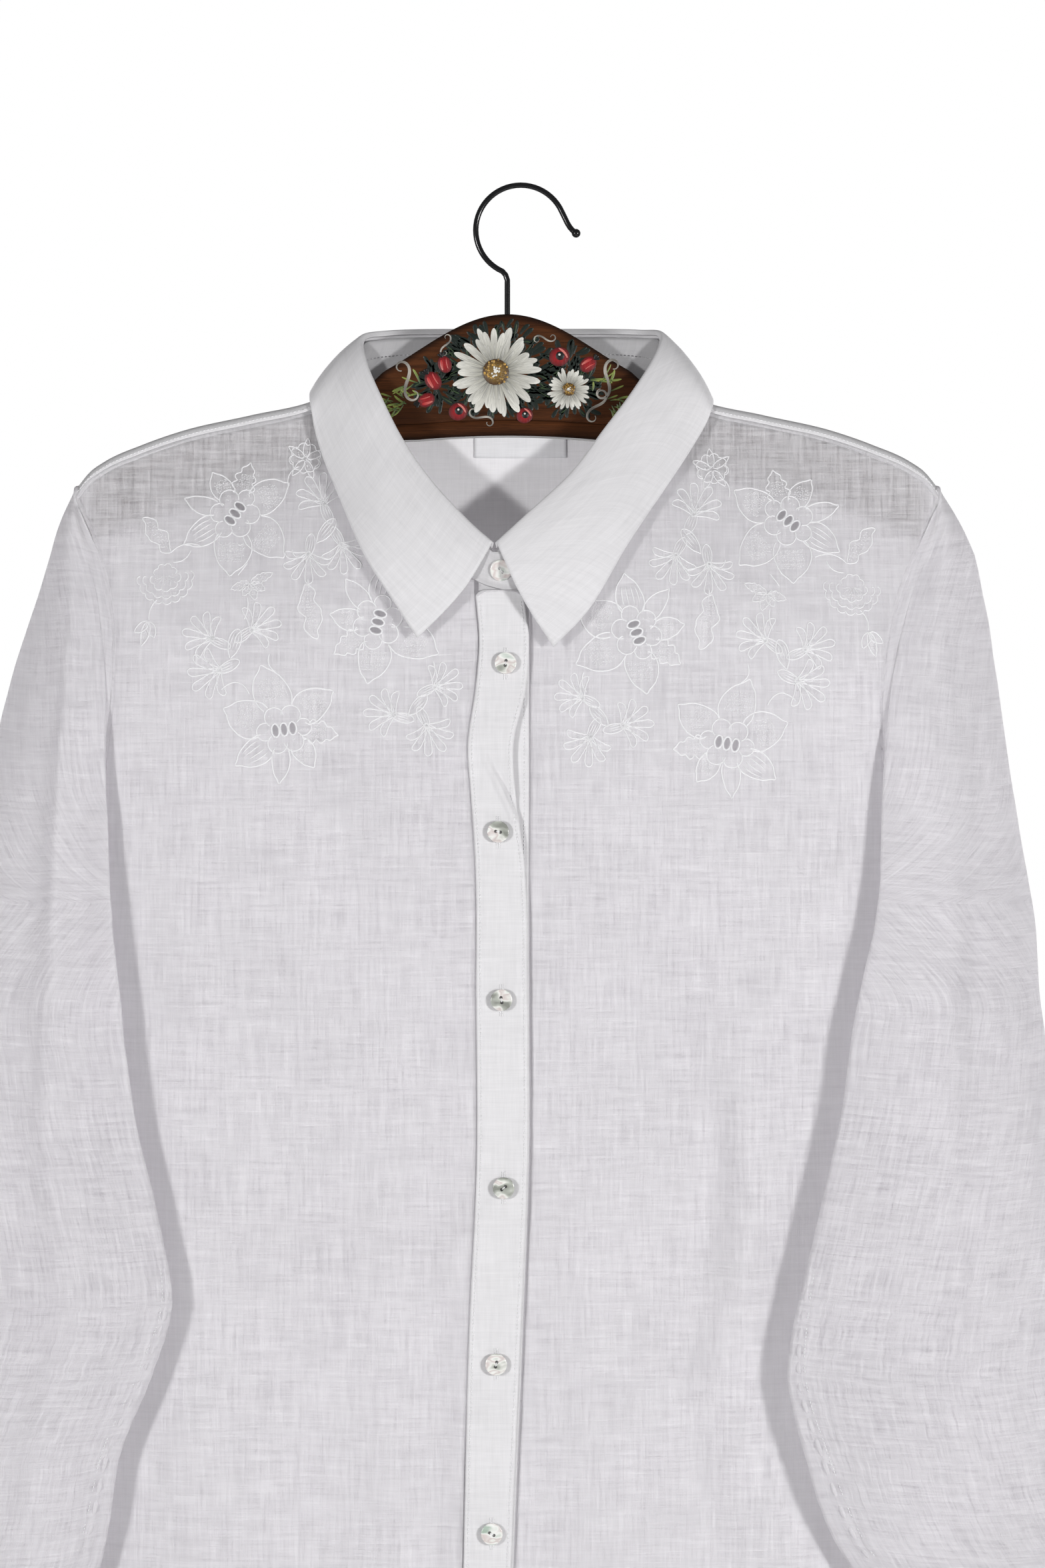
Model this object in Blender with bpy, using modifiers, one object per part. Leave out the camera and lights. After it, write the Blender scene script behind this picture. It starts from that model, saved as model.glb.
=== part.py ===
"""Embroidered linen shirt hanging buttoned on a painted wooden hanger.

Metres, +Z up. The front faces -Y and the wearer's right side is at -X. The world origin is the
inner top of the hook, where a rail carries it. Every shape is worked out from the middle of the
hanger, and an empty there places them all.
"""

import math
from collections import namedtuple

import bmesh
import bpy
import numpy as np
from mathutils import Matrix, Vector

# Cloth, seams and the places of the main points
STEM_X = -0.0076
CLOTH_WALL = 0.0014
BAND_WALL = 0.0018
LABEL_WALL = 0.0008
SEAM_GAP = 0.0003
MERGE = 0.00005
HEM_Z = -0.840
UNDERARM_Z = -0.370
CUFF_TOP_Z = -0.722
CUFF_BOTTOM_Z = -0.778
SIDES = {"right": -1, "left": 1}
SLEEVE_BACK_OFF = 0.0010
ARCH_OFF = 0.0013
LAY_CLEAR = 0.0022
LAY_MORE = 0.0026

# The hanger under the shoulders
RIDGE_HALF = 0.008
RIDGE_DROP = 0.006
NECK_X = 0.084
SHOULDER_X = 0.2235
BOARD_THICKNESS = 0.0126
BOARD_EDGE = 0.0022
BOARD_CLEAR = 0.0038
DOME_TOP_Z = -0.0664
DOME_RISE = 0.0385
DOME_HALF = 0.094
BOARD_END_X = 0.216
BOARD_ARM_HEIGHT = 0.038
WIRE_RADIUS = 0.00145
BALL_RADIUS = 0.0023

# The overlap down the front
BAND_TOP_Z = -0.2135
BAND_WIDTH = 0.027
BAND_GAP = 0.0006
LAP_STEP = 0.0022
LAP_EASE = 0.030

# Buttons and cutwork
BUTTON_RADIUS = 0.0055
BUTTON_THICKNESS = 0.0022
BUTTON_DISH = 0.0006
SLOT_LENGTH = 0.0056
SLOT_WIDTH = 0.0027

Level = namedtuple("Level", "z side front back")
BODY = (
    Level(-0.060, 0.236, 0.040, 0.034),
    Level(-0.200, 0.236, 0.044, 0.038),
    Level(-0.300, 0.236, 0.049, 0.042),
    Level(-0.370, 0.236, 0.051, 0.044),
    Level(-0.450, 0.234, 0.052, 0.045),
    Level(-0.570, 0.231, 0.051, 0.046),
    Level(-0.700, 0.237, 0.053, 0.048),
    Level(-0.840, 0.247, 0.056, 0.050),
)

Shoulder = namedtuple("Shoulder", "x ridge front_start back_start")
SHOULDER = (
    Shoulder(0.000, -0.1005, -0.090, -0.062),
    Shoulder(0.034, -0.1005, -0.092, -0.072),
    Shoulder(0.060, -0.1010, -0.097, -0.088),
    Shoulder(0.084, -0.1030, -0.103, -0.103),
    Shoulder(0.101, -0.1110, -0.111, -0.111),
    Shoulder(0.133, -0.1185, -0.1185, -0.1185),
    Shoulder(0.170, -0.127, -0.127, -0.127),
    Shoulder(0.190, -0.134, -0.134, -0.134),
    Shoulder(0.210, -0.142, -0.142, -0.142),
    Shoulder(0.2235, -0.150, -0.150, -0.150),
)

Neck = namedtuple("Neck", "x front_seam")
NECK = (
    Neck(0.000, -0.2125),
    Neck(0.012, -0.2090),
    Neck(0.032, -0.1950),
    Neck(0.054, -0.1690),
    Neck(0.072, -0.1400),
    Neck(0.084, -0.1090),
)

Armhole = namedtuple("Armhole", "z right left")
ARMHOLE = (
    Armhole(-0.150, 0.2235, 0.2235),
    Armhole(-0.156, 0.2235, 0.2235),
    Armhole(-0.178, 0.2155, 0.2165),
    Armhole(-0.200, 0.2085, 0.2070),
    Armhole(-0.224, 0.2035, 0.1990),
    Armhole(-0.255, 0.2030, 0.1935),
    Armhole(-0.290, 0.2060, 0.1930),
    Armhole(-0.325, 0.2125, 0.2000),
    Armhole(-0.352, 0.2235, 0.2200),
    Armhole(-0.370, 0.2360, 0.2360),
)

# Inner and outer edge as seen from the front, how far the inner edge stands off the body, the
# depth of the outer edge, the fullness of the front and back walls and of the long front fold
Sleeve = namedtuple("Sleeve", "z inner outer lift outer_y front_full back_full valley")
SLEEVE = {
    "right": (
        Sleeve(-0.156, 0.2243, 0.2258, 0.000, 0.000, 0.001, 0.001, 0.000),
        Sleeve(-0.178, 0.2220, 0.2336, 0.000, -0.001, 0.003, 0.003, 0.000),
        Sleeve(-0.215, 0.2130, 0.2446, 0.001, -0.002, 0.005, 0.006, 0.000),
        Sleeve(-0.250, 0.2085, 0.2560, 0.003, -0.003, 0.007, 0.009, 0.001),
        Sleeve(-0.290, 0.2072, 0.2660, 0.007, -0.004, 0.009, 0.012, 0.002),
        Sleeve(-0.330, 0.2052, 0.2740, 0.011, -0.006, 0.010, 0.014, 0.004),
        Sleeve(-0.370, 0.2025, 0.2810, 0.014, -0.008, 0.012, 0.016, 0.006),
        Sleeve(-0.420, 0.1980, 0.2890, 0.016, -0.011, 0.014, 0.018, 0.008),
        Sleeve(-0.480, 0.1905, 0.2975, 0.017, -0.014, 0.015, 0.018, 0.008),
        Sleeve(-0.540, 0.1770, 0.3050, 0.018, -0.017, 0.015, 0.017, 0.007),
        Sleeve(-0.575, 0.1720, 0.3080, 0.018, -0.018, 0.014, 0.016, 0.006),
        Sleeve(-0.610, 0.1820, 0.3110, 0.018, -0.018, 0.014, 0.016, 0.006),
        Sleeve(-0.650, 0.1980, 0.3150, 0.017, -0.018, 0.014, 0.016, 0.005),
        Sleeve(-0.690, 0.2045, 0.3190, 0.016, -0.018, 0.013, 0.016, 0.002),
        Sleeve(-0.722, 0.2125, 0.3220, 0.014, -0.018, 0.011, 0.014, 0.000),
        Sleeve(-0.780, 0.2170, 0.3220, 0.014, -0.018, 0.010, 0.013, 0.000),
    ),
    "left": (
        Sleeve(-0.156, 0.2245, 0.2270, 0.000, 0.000, 0.001, 0.001, 0.000),
        Sleeve(-0.178, 0.2235, 0.2385, 0.000, -0.001, 0.003, 0.003, 0.000),
        Sleeve(-0.215, 0.2095, 0.2477, 0.001, -0.002, 0.005, 0.006, 0.000),
        Sleeve(-0.250, 0.2005, 0.2535, 0.003, -0.003, 0.007, 0.009, 0.000),
        Sleeve(-0.290, 0.1950, 0.2590, 0.007, -0.004, 0.009, 0.012, 0.000),
        Sleeve(-0.330, 0.1918, 0.2650, 0.011, -0.006, 0.010, 0.014, 0.001),
        Sleeve(-0.370, 0.1892, 0.2715, 0.014, -0.008, 0.012, 0.016, 0.002),
        Sleeve(-0.420, 0.1795, 0.2760, 0.016, -0.011, 0.014, 0.018, 0.003),
        Sleeve(-0.480, 0.1705, 0.2815, 0.017, -0.014, 0.015, 0.018, 0.003),
        Sleeve(-0.540, 0.1575, 0.2855, 0.018, -0.017, 0.015, 0.017, 0.003),
        Sleeve(-0.575, 0.1495, 0.2880, 0.018, -0.018, 0.014, 0.016, 0.003),
        Sleeve(-0.610, 0.1445, 0.2905, 0.018, -0.018, 0.014, 0.016, 0.003),
        Sleeve(-0.650, 0.1530, 0.2940, 0.017, -0.018, 0.014, 0.016, 0.003),
        Sleeve(-0.690, 0.1660, 0.2985, 0.016, -0.018, 0.013, 0.016, 0.002),
        Sleeve(-0.722, 0.1850, 0.3000, 0.014, -0.018, 0.011, 0.014, 0.000),
        Sleeve(-0.780, 0.1900, 0.2990, 0.014, -0.018, 0.010, 0.013, 0.000),
    ),
}

# Left line and free edge of the buttonhole band, and the seam of the button band under it
Band = namedtuple("Band", "z seam free under")
BANDS = (
    Band(-0.213, -0.0162, 0.0085, 0.0112),
    Band(-0.238, -0.0143, 0.0112, 0.0114),
    Band(-0.262, -0.0162, 0.0095, 0.0114),
    Band(-0.290, -0.0200, 0.0034, 0.0114),
    Band(-0.317, -0.0184, 0.0045, 0.0114),
    Band(-0.345, -0.0165, 0.0083, 0.0112),
    Band(-0.420, -0.0158, 0.0105, 0.0114),
    Band(-0.500, -0.0155, 0.0106, 0.0114),
    Band(-0.590, -0.0194, 0.0070, 0.0082),
    Band(-0.715, -0.0224, 0.0018, 0.0032),
    Band(-0.840, -0.0250, -0.0010, 0.0004),
)

# The collar from the front edges round to the middle of the back: where its folded top line and
# its outer edge lie, and the depth of the top line
Collar = namedtuple("Collar", "turn fold_x fold_z fold_y edge_x edge_z")
COLLAR = {
    "right": (
        Collar(1.00, -0.0080, -0.1880, -0.0500, -0.0458, -0.2360),
        Collar(0.88, -0.0210, -0.1760, -0.0450, -0.0580, -0.2170),
        Collar(0.75, -0.0400, -0.1550, -0.0375, -0.0730, -0.1930),
        Collar(0.62, -0.0550, -0.1330, -0.0290, -0.0870, -0.1610),
        Collar(0.50, -0.0670, -0.1090, -0.0190, -0.0965, -0.1370),
        Collar(0.40, -0.0750, -0.0900, -0.0070, -0.1010, -0.1190),
        Collar(0.31, -0.0770, -0.0775, 0.0070, -0.1010, -0.1052),
        Collar(0.20, -0.0640, -0.0730, 0.0200, -0.0800, -0.1130),
        Collar(0.00, 0.0050, -0.0715, 0.0265, 0.0000, -0.1160),
    ),
    "left": (
        Collar(1.00, -0.0050, -0.1880, -0.0500, 0.0237, -0.2405),
        Collar(0.88, 0.0110, -0.1730, -0.0455, 0.0420, -0.2210),
        Collar(0.75, 0.0340, -0.1510, -0.0385, 0.0615, -0.1880),
        Collar(0.62, 0.0510, -0.1280, -0.0295, 0.0800, -0.1600),
        Collar(0.50, 0.0670, -0.1060, -0.0195, 0.0945, -0.1380),
        Collar(0.40, 0.0785, -0.0870, -0.0070, 0.1050, -0.1190),
        Collar(0.31, 0.0815, -0.0755, 0.0070, 0.1050, -0.1085),
        Collar(0.20, 0.0690, -0.0725, 0.0200, 0.0840, -0.1130),
        Collar(0.00, 0.0050, -0.0715, 0.0265, 0.0000, -0.1160),
    ),
}
LEAF_ROLL = 0.0020
LEAF_OFF_BODY = 0.0045
LEAF_FULL = 0.0030
STAND_TOP_DROP = 0.0020
STAND_INSET = 0.0015
STAND_LAPS = {"right": 0.0065, "left": -0.0145}
STAND_OFF_SEAM = 0.0029
ROLL_TURNS = (0.30, 0.42)

# Middle of each button on the front, and of the label inside the back
BUTTONS = (
    (-0.0031, -0.2010),
    (-0.0007, -0.2490),
    (-0.0045, -0.3347),
    (-0.0028, -0.4200),
    (-0.0017, -0.5153),
    (-0.0055, -0.6050),
    (-0.0077, -0.6908),
    (-0.0083, -0.7795),
)
LABEL_X = 0.0068
LABEL_SIZE = (0.048, 0.032)
LABEL_TOP_Z = -0.1065
LABEL_OFF = 0.0012

# Cutwork: the eye of each large flower on the right front, the way its row of slots runs and the
# turn of each slot. The left front mirrors them about its own middle.
Flower = namedtuple("Flower", "side x z heading")
FLOWERS = (
    Flower("right", -0.1405, -0.1706, 55.0),
    Flower("right", -0.0659, -0.2276, 75.0),
    Flower("right", -0.1138, -0.2824, 8.0),
    Flower("left", 0.1450, -0.1744, -40.0),
    Flower("left", 0.0660, -0.2329, -70.0),
    Flower("left", 0.1122, -0.2896, -12.0),
)
SLOTS_PER_FLOWER = 3
SLOT_PITCH = 0.0044

# How many steps each surface is divided into
NECK_STEPS = 5
CHEST_STEPS = 8
ARMHOLE_SHARES = (0.0, 0.14, 0.29, 0.44, 0.59, 0.73, 0.85, 0.94)
BODY_STEPS = 10
SLEEVE_SPAN_STEPS = (1, 1, 2, 3, 3, 3, 3, 2, 3)
LEAF_STEPS = 4
BAND_STEPS = 30


def spline(keys, values, at):
    """The value at a key on a smooth curve through a rising list of keys."""
    keys = np.asarray(keys, float)
    values = np.asarray(values, float)
    slopes = np.gradient(values, keys)
    at = float(np.clip(at, keys[0], keys[-1]))
    i = min(max(int(np.searchsorted(keys, at)) - 1, 0), len(keys) - 2)
    step = keys[i + 1] - keys[i]
    t = (at - keys[i]) / step
    return float(
        (2 * t**3 - 3 * t**2 + 1) * values[i]
        + (t**3 - 2 * t**2 + t) * step * slopes[i]
        + (3 * t**2 - 2 * t**3) * values[i + 1]
        + (t**3 - t**2) * step * slopes[i + 1]
    )


def level(rows, field, z):
    """A column of a table at height z; the tables run downwards."""
    return spline([-row.z for row in rows], [getattr(row, field) for row in rows], -z)


def across(rows, field, x):
    """A column of a table at a distance from the middle."""
    return spline([row.x for row in rows], [getattr(row, field) for row in rows], abs(x))


def eased(value, low, high):
    """0 below low, 1 above high, and an even S between."""
    t = min(max((value - low) / (high - low), 0.0), 1.0)
    return t * t * (3.0 - 2.0 * t)


def mixed(a, b, share):
    return a + (b - a) * share


def roundness(x, z):
    """How full the body's section is at x, from 1 in the middle to 0 at the side seam."""
    reach = min(abs(x) / level(BODY, "side", z), 1.0)
    return math.sqrt(1.0 - reach**3)


def front_y(x, z):
    """Depth of the front of the body: flat on the hanger's arms, full at the chest."""
    fall = eased(across(SHOULDER, "front_start", x) - z, 0.0, 0.120)
    full = level(BODY, "front", z) * roundness(x, z)
    return -mixed(RIDGE_HALF, full, fall)


def back_y(x, z):
    """Depth of the back of the body."""
    fall = eased(across(SHOULDER, "back_start", x) - z, 0.0, 0.100)
    full = level(BODY, "back", z) * roundness(x, z)
    return mixed(RIDGE_HALF, full, fall)


def side_x(side, z):
    """The outer edge of the front and back panels: armhole above the underarm, then side seam."""
    if z >= UNDERARM_Z:
        return level(ARMHOLE, side, z)
    return level(BODY, "side", z)


def top_z(x):
    """The front panels' top: the neck seam, then the shoulder seam just in front of the ridge."""
    if abs(x) < NECK_X:
        return across(NECK, "front_seam", x)
    return across(SHOULDER, "ridge", x) - RIDGE_DROP


def lap_lift(x, z):
    """How far the right front rises to reach its buttonhole band, which lies on top."""
    seam = level(BANDS, "seam", z)
    return LAP_STEP * eased(x, seam - LAP_EASE, seam)


def front_point(x, z, side):
    lift = lap_lift(x, z) if side == "right" else 0.0
    return Vector((x, front_y(x, z) - lift, z))


def material(name, colour, roughness, metallic=0.0):
    made = bpy.data.materials.new(name)
    made.use_nodes = True
    shader = made.node_tree.nodes["Principled BSDF"]
    shader.inputs["Base Color"].default_value = (*colour, 1.0)
    shader.inputs["Roughness"].default_value = roughness
    shader.inputs["Metallic"].default_value = metallic
    made.diffuse_color = (*colour, 1.0)
    return made


def place(obj, made, collection, stem):
    collection.objects.link(obj)
    obj.data.materials.append(made)
    obj.parent = stem


def loft(name, sections, keep=None):
    """An open surface through sections that have as many points each."""
    bm = bmesh.new()
    grid = [[bm.verts.new(point) for point in section] for section in sections]
    for row, (upper, lower) in enumerate(zip(grid, grid[1:])):
        for column in range(len(upper) - 1):
            if keep is None or keep(row, column):
                corners = (upper[column], lower[column], lower[column + 1], upper[column + 1])
                bm.faces.new(corners)
    bmesh.ops.delete(bm, geom=[v for v in bm.verts if not v.link_faces], context="VERTS")
    bmesh.ops.remove_doubles(bm, verts=bm.verts, dist=MERGE)
    mesh = bpy.data.meshes.new(name)
    bm.to_mesh(mesh)
    bm.free()
    mesh.shade_smooth()
    return bpy.data.objects.new(name, mesh)


def thicken(obj, wall):
    """Gives an open surface a wall with its middle on the surface."""
    shell = obj.modifiers.new("Wall", "SOLIDIFY")
    shell.thickness = wall
    shell.offset = 0.0
    shell.use_even_offset = True
    shell.use_quality_normals = True
    return obj


def shoulder_columns():
    """Distances from the middle of the columns along the shoulder seam, closer at its end."""
    columns = []
    for i in range(CHEST_STEPS + 1):
        closer = 1.0 - (1.0 - i / CHEST_STEPS) ** 1.5
        columns.append(mixed(NECK_X, SHOULDER_X - SEAM_GAP / 2, closer))
    return columns


def falls():
    """Shares of the way from the top edge to the hem, with one at the underarm."""
    start = top_z(SHOULDER_X)
    underarm = (start - UNDERARM_Z) / (start - HEM_Z)
    upper = [underarm * share for share in ARMHOLE_SHARES]
    lower = [mixed(underarm, 1.0, i / BODY_STEPS) for i in range(BODY_STEPS + 1)]
    return upper + lower


def armhole_levels():
    """Heights of the rows that the panels and the sleeves share along the armhole."""
    start = top_z(SHOULDER_X)
    return [mixed(start, UNDERARM_Z, share) for share in ARMHOLE_SHARES + (1.0,)]


def front_panel(side):
    """One front, from the seam of its band to the armhole and side seam."""
    sign = SIDES[side]
    edge_field = "seam" if side == "right" else "under"
    gap = sign * BAND_GAP
    first = level(BANDS, edge_field, BAND_TOP_Z) + gap
    tops = [mixed(first, sign * NECK_X, i / NECK_STEPS) for i in range(NECK_STEPS)]
    tops += [sign * x for x in shoulder_columns()]
    sections = []
    for fall in falls():
        section = []
        for top_x in tops:
            share = (top_x - first) / (tops[-1] - first)
            z = mixed(top_z(top_x), HEM_Z, fall)
            inner = level(BANDS, edge_field, z) + gap
            outer = sign * (side_x(side, z) - SEAM_GAP / 2)
            x = mixed(inner, outer, share)
            section.append(front_point(x, z, side))
        sections.append(section[::sign])
    return thicken(loft(f"front_{side}", sections), CLOTH_WALL)


def shoulder_roll(x, turn):
    """A point of the back where it rolls forward over the ridge; turn 1 is in front, -1 behind."""
    ridge = across(SHOULDER, "ridge", x)
    angle = turn * math.pi / 2
    z = ridge - RIDGE_DROP * (1.0 - math.cos(angle))
    return Vector((x, -RIDGE_HALF * math.sin(angle), z))


def back_top_z(x):
    if abs(x) < NECK_X:
        return across(SHOULDER, "ridge", x) - RIDGE_DROP * (abs(x) / NECK_X) ** 4
    return across(SHOULDER, "ridge", x) - RIDGE_DROP


def back_panel():
    """The back, with the strip of it that comes over each shoulder to the seam in front."""
    half = [NECK_X * i / NECK_STEPS for i in range(NECK_STEPS)] + shoulder_columns()
    stations = [-x for x in reversed(half)] + half[1:]
    reach = stations[-1]
    rolls = (0.96, 0.5, 0.0, -0.5)
    sections = [[shoulder_roll(x, turn) for x in stations] for turn in rolls]
    for fall in falls():
        section = []
        for station in stations:
            side = "left" if station > 0 else "right"
            z = mixed(back_top_z(station), HEM_Z, fall)
            x = station / reach * (side_x(side, z) - SEAM_GAP / 2)
            section.append(Vector((x, back_y(x, z), z)))
        sections.append(section)
    middle = len(half) - 1

    def on_cloth(row, column):
        return row >= len(rolls) or not middle - NECK_STEPS <= column < middle + NECK_STEPS

    return thicken(loft("back", sections, on_cloth), CLOTH_WALL)


def off_body(side, x, z, clear):
    """A point beside the body's front at distance x from the middle, moved out along its normal."""
    step = 0.0005
    sign = SIDES[side]
    slope = (front_y(sign * x, z) - front_y(sign * (x - step), z)) / step
    length = math.hypot(1.0, slope)
    return x + clear * slope / length, front_y(sign * x, z) - clear / length


def sleeve_guides(side, z):
    """Points that the sleeve's level section passes, from the front seam round to the back one.

    Below the armhole's middle the sleeve falls forward over the body, so its first guides lie
    on the front panel, lifted off it; under the arm the two seams meet.
    """
    sign = SIDES[side]
    rows = SLEEVE[side]
    inner = level(rows, "inner", z)
    outer = level(rows, "outer", z)
    lift = level(rows, "lift", z)
    outer_y = level(rows, "outer_y", z)
    front_full = level(rows, "front_full", z)
    back_full = level(rows, "back_full", z)
    valley = level(rows, "valley", z)
    clear = LAY_CLEAR + LAY_MORE * eased(-z, 0.290, 0.350)
    if z >= UNDERARM_Z:
        seam_x = level(ARMHOLE, side, z) + SEAM_GAP / 2
        folded = eased(seam_x - inner, -0.006, -0.001)
        front_seam = off_body(side, seam_x, z, clear * folded)
        back_x = seam_x + SLEEVE_BACK_OFF * eased(-z, 0.300, 0.345)
        back_seam = (back_x, back_y(sign * seam_x, z)) if z > UNDERARM_Z else front_seam
    else:
        settled = eased(UNDERARM_Z - z, 0.0, 0.060)
        seam_x = mixed(side_x(side, UNDERARM_Z), inner + 0.008, settled)
        folded = 1.0
        front_seam = off_body(side, seam_x, z, clear)
        back_seam = front_seam
    lain = max(lift, clear * 1.3 * folded)
    width = outer - inner
    fold = (inner, front_y(sign * inner, z) - lain)
    over = off_body(side, mixed(seam_x, inner, 0.35), z, mixed(clear * folded, lain, 0.30))
    near = off_body(side, mixed(seam_x, inner, 0.72), z, mixed(clear * folded, lain, 0.60))
    mid_back_x = max(mixed(outer, back_seam[0], 0.55), min(0.247, outer - 0.25 * width))
    mid_back_y = mixed(outer_y, back_seam[1], 0.55) + back_full * 0.55
    if z < UNDERARM_Z:
        mid_back_y = min(mid_back_y, front_y(sign * 0.225, z) + 0.012)
    return (
        front_seam,
        over,
        near,
        fold,
        (inner + 0.30 * width, mixed(fold[1], outer_y, 0.22) - front_full + valley),
        (inner + 0.66 * width, mixed(fold[1], outer_y, 0.60) - front_full),
        (outer, outer_y),
        (mixed(outer, back_seam[0], 0.22), mixed(outer_y, back_seam[1], 0.20) + back_full),
        (mid_back_x, mid_back_y),
        back_seam,
    )


def sleeve_stations():
    """Where along its guides a section is read: guide by guide over the lap, finer after it."""
    stations = []
    for guide, steps in enumerate(SLEEVE_SPAN_STEPS):
        stations += [guide + i / steps for i in range(steps)]
    return stations + [len(SLEEVE_SPAN_STEPS)]


def sleeve_section(side, z):
    """A level section of the sleeve on a smooth curve through its guides."""
    guides = sleeve_guides(side, z)
    keys = list(range(len(guides)))
    section = []
    for at in sleeve_stations():
        x = spline(keys, [guide[0] for guide in guides], at)
        y = spline(keys, [guide[1] for guide in guides], at)
        section.append(Vector((SIDES[side] * x, y, z)))
    return section


def sleeve_arch(side, count):
    """The top of the sleeve's head, sewn over the end of the shoulder."""
    section = []
    for i in range(count):
        point = shoulder_roll(SHOULDER_X + ARCH_OFF, mixed(1.0, -1.0, i / (count - 1)))
        point.x *= SIDES[side]
        section.append(point)
    return section


def tube(name, sections, side, wall):
    if side == "left":
        sections = [section[::-1] for section in sections]
    return thicken(loft(name, sections), wall)


def sleeve(side):
    upper = [sleeve_section(side, z) for z in armhole_levels()[1:]]
    first = sleeve_arch(side, len(upper[0]))
    low_levels = [mixed(UNDERARM_Z, CUFF_TOP_Z, (i / BODY_STEPS) ** 1.15) for i in range(1, BODY_STEPS + 1)]
    lower = [sleeve_section(side, z) for z in low_levels]
    return tube(f"sleeve_{side}", [first] + upper + lower, side, CLOTH_WALL)


def cuff(side):
    levels = (CUFF_TOP_Z - SEAM_GAP, mixed(CUFF_TOP_Z, CUFF_BOTTOM_Z, 0.5), CUFF_BOTTOM_Z)
    sections = [sleeve_section(side, z) for z in levels]
    return tube(f"cuff_{side}", sections, side, BAND_WALL)


def collar_columns():
    """The collar's stations in one run, from the right front edge round the back to the left."""
    columns = []
    for turn in np.linspace(1.0, 0.0, 15):
        columns.append(("right", float(turn)))
    for turn in np.linspace(0.0, 1.0, 15)[1:]:
        columns.append(("left", float(turn)))
    return columns


def collar_value(side, turn, field):
    rows = COLLAR[side][::-1]
    return spline([row.turn for row in rows], [getattr(row, field) for row in rows], turn)


def fold_point(side, turn):
    return Vector([collar_value(side, turn, f"fold_{axis}") for axis in "xyz"])


def outward(side, turn):
    """Level direction away from the neck at a station of the collar."""
    ahead = fold_point(side, min(turn + 0.02, 1.0))
    behind = fold_point(side, max(turn - 0.02, 0.0))
    along = ahead - behind
    away = Vector((along.y, -along.x, 0.0)) * -SIDES[side]
    return away.normalized()


def leaf_edge(side, turn):
    """The outer edge of the folded-down collar, just off the shirt under it."""
    x = collar_value(side, turn, "edge_x")
    z = collar_value(side, turn, "edge_z")
    front = front_y(x, z) - LEAF_OFF_BODY
    back = back_y(x, z) + LEAF_OFF_BODY
    return Vector((x, mixed(back, front, eased(turn, 0.22, 0.40)), z))


def collar_leaf():
    """The collar's leaf: from its seam inside, over the fold and down to the outer edge."""
    sections = []
    columns = collar_columns()
    for row in range(LEAF_STEPS + 3):
        section = []
        for side, turn in columns:
            fold = fold_point(side, turn)
            away = outward(side, turn)
            if row == 0:
                point = fold - away * LEAF_ROLL - Vector((0.0, 0.0, LEAF_ROLL))
            elif row == 1:
                point = fold
            else:
                share = (row - 1) / (LEAF_STEPS + 1)
                full = LEAF_FULL * math.sin(math.pi * share)
                start = fold + away * LEAF_ROLL * 0.6
                point = start.lerp(leaf_edge(side, turn), share) + away * full
            section.append(point)
        sections.append(section)
    return thicken(loft("collar_leaf", sections), CLOTH_WALL)


def neck_point(side, turn):
    """The seam line of neck and collar, from the middle of the back to the middle of the front."""
    reach = SIDES[side] * (NECK_X - STAND_INSET)
    back_turn, front_turn = ROLL_TURNS
    if turn < back_turn:
        x = reach * math.sin(math.pi / 2 * turn / back_turn)
        return Vector((x, back_y(x, back_top_z(x)), back_top_z(x)))
    if turn <= front_turn:
        rolled = (turn - back_turn) / (front_turn - back_turn)
        return shoulder_roll(reach, mixed(-1.0, 1.0, rolled))
    x = reach * math.cos(math.pi / 2 * (turn - front_turn) / (1.0 - front_turn))
    return Vector((x, front_y(x, top_z(x)), top_z(x)))


def stand_line(side, turn):
    """The lower and upper point of the collar stand at one of its stations."""
    lower = neck_point(side, turn) + Vector((0.0, 0.0, STAND_OFF_SEAM))
    drop = Vector((0.0, 0.0, LEAF_ROLL + STAND_TOP_DROP))
    upper = fold_point(side, turn) - outward(side, turn) * LEAF_ROLL - drop
    return lower, upper


def collar_stand():
    """The band that stands round the neck; its ends cross under the collar button."""
    lines = [stand_line(side, turn) for side, turn in collar_columns()]
    sections = []
    for share in (1.0, 0.5, 0.0):
        section = [lower.lerp(upper, share) for lower, upper in lines]
        right_lap = section[0].copy()
        right_lap.x = STAND_LAPS["right"]
        section[-1].y += LAP_STEP
        left_lap = section[-1].copy()
        left_lap.x = STAND_LAPS["left"]
        sections.append([right_lap] + section + [left_lap])
    return thicken(loft("collar_stand", sections), CLOTH_WALL)


def band(name, edges, lift, wall):
    """A band down the front between two lines, raised off the shirt's face by lift."""
    sections = []
    for i in range(BAND_STEPS + 1):
        z = mixed(BAND_TOP_Z, HEM_Z, i / BAND_STEPS)
        low, high = edges(z)
        section = []
        for share in (0.0, 0.5, 1.0):
            x = mixed(low, high, share)
            section.append(Vector((x, front_y(x, z) - lift, z)))
        sections.append(section)
    return thicken(loft(name, sections), wall)


def placket_over():
    def edges(z):
        return level(BANDS, "seam", z) + SEAM_GAP / 2, level(BANDS, "free", z)

    return band("placket_over", edges, LAP_STEP, BAND_WALL)


def placket_under():
    def edges(z):
        right = level(BANDS, "under", z) - SEAM_GAP / 2
        return right - BAND_WIDTH, right

    return band("placket_under", edges, 0.0, CLOTH_WALL)


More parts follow.
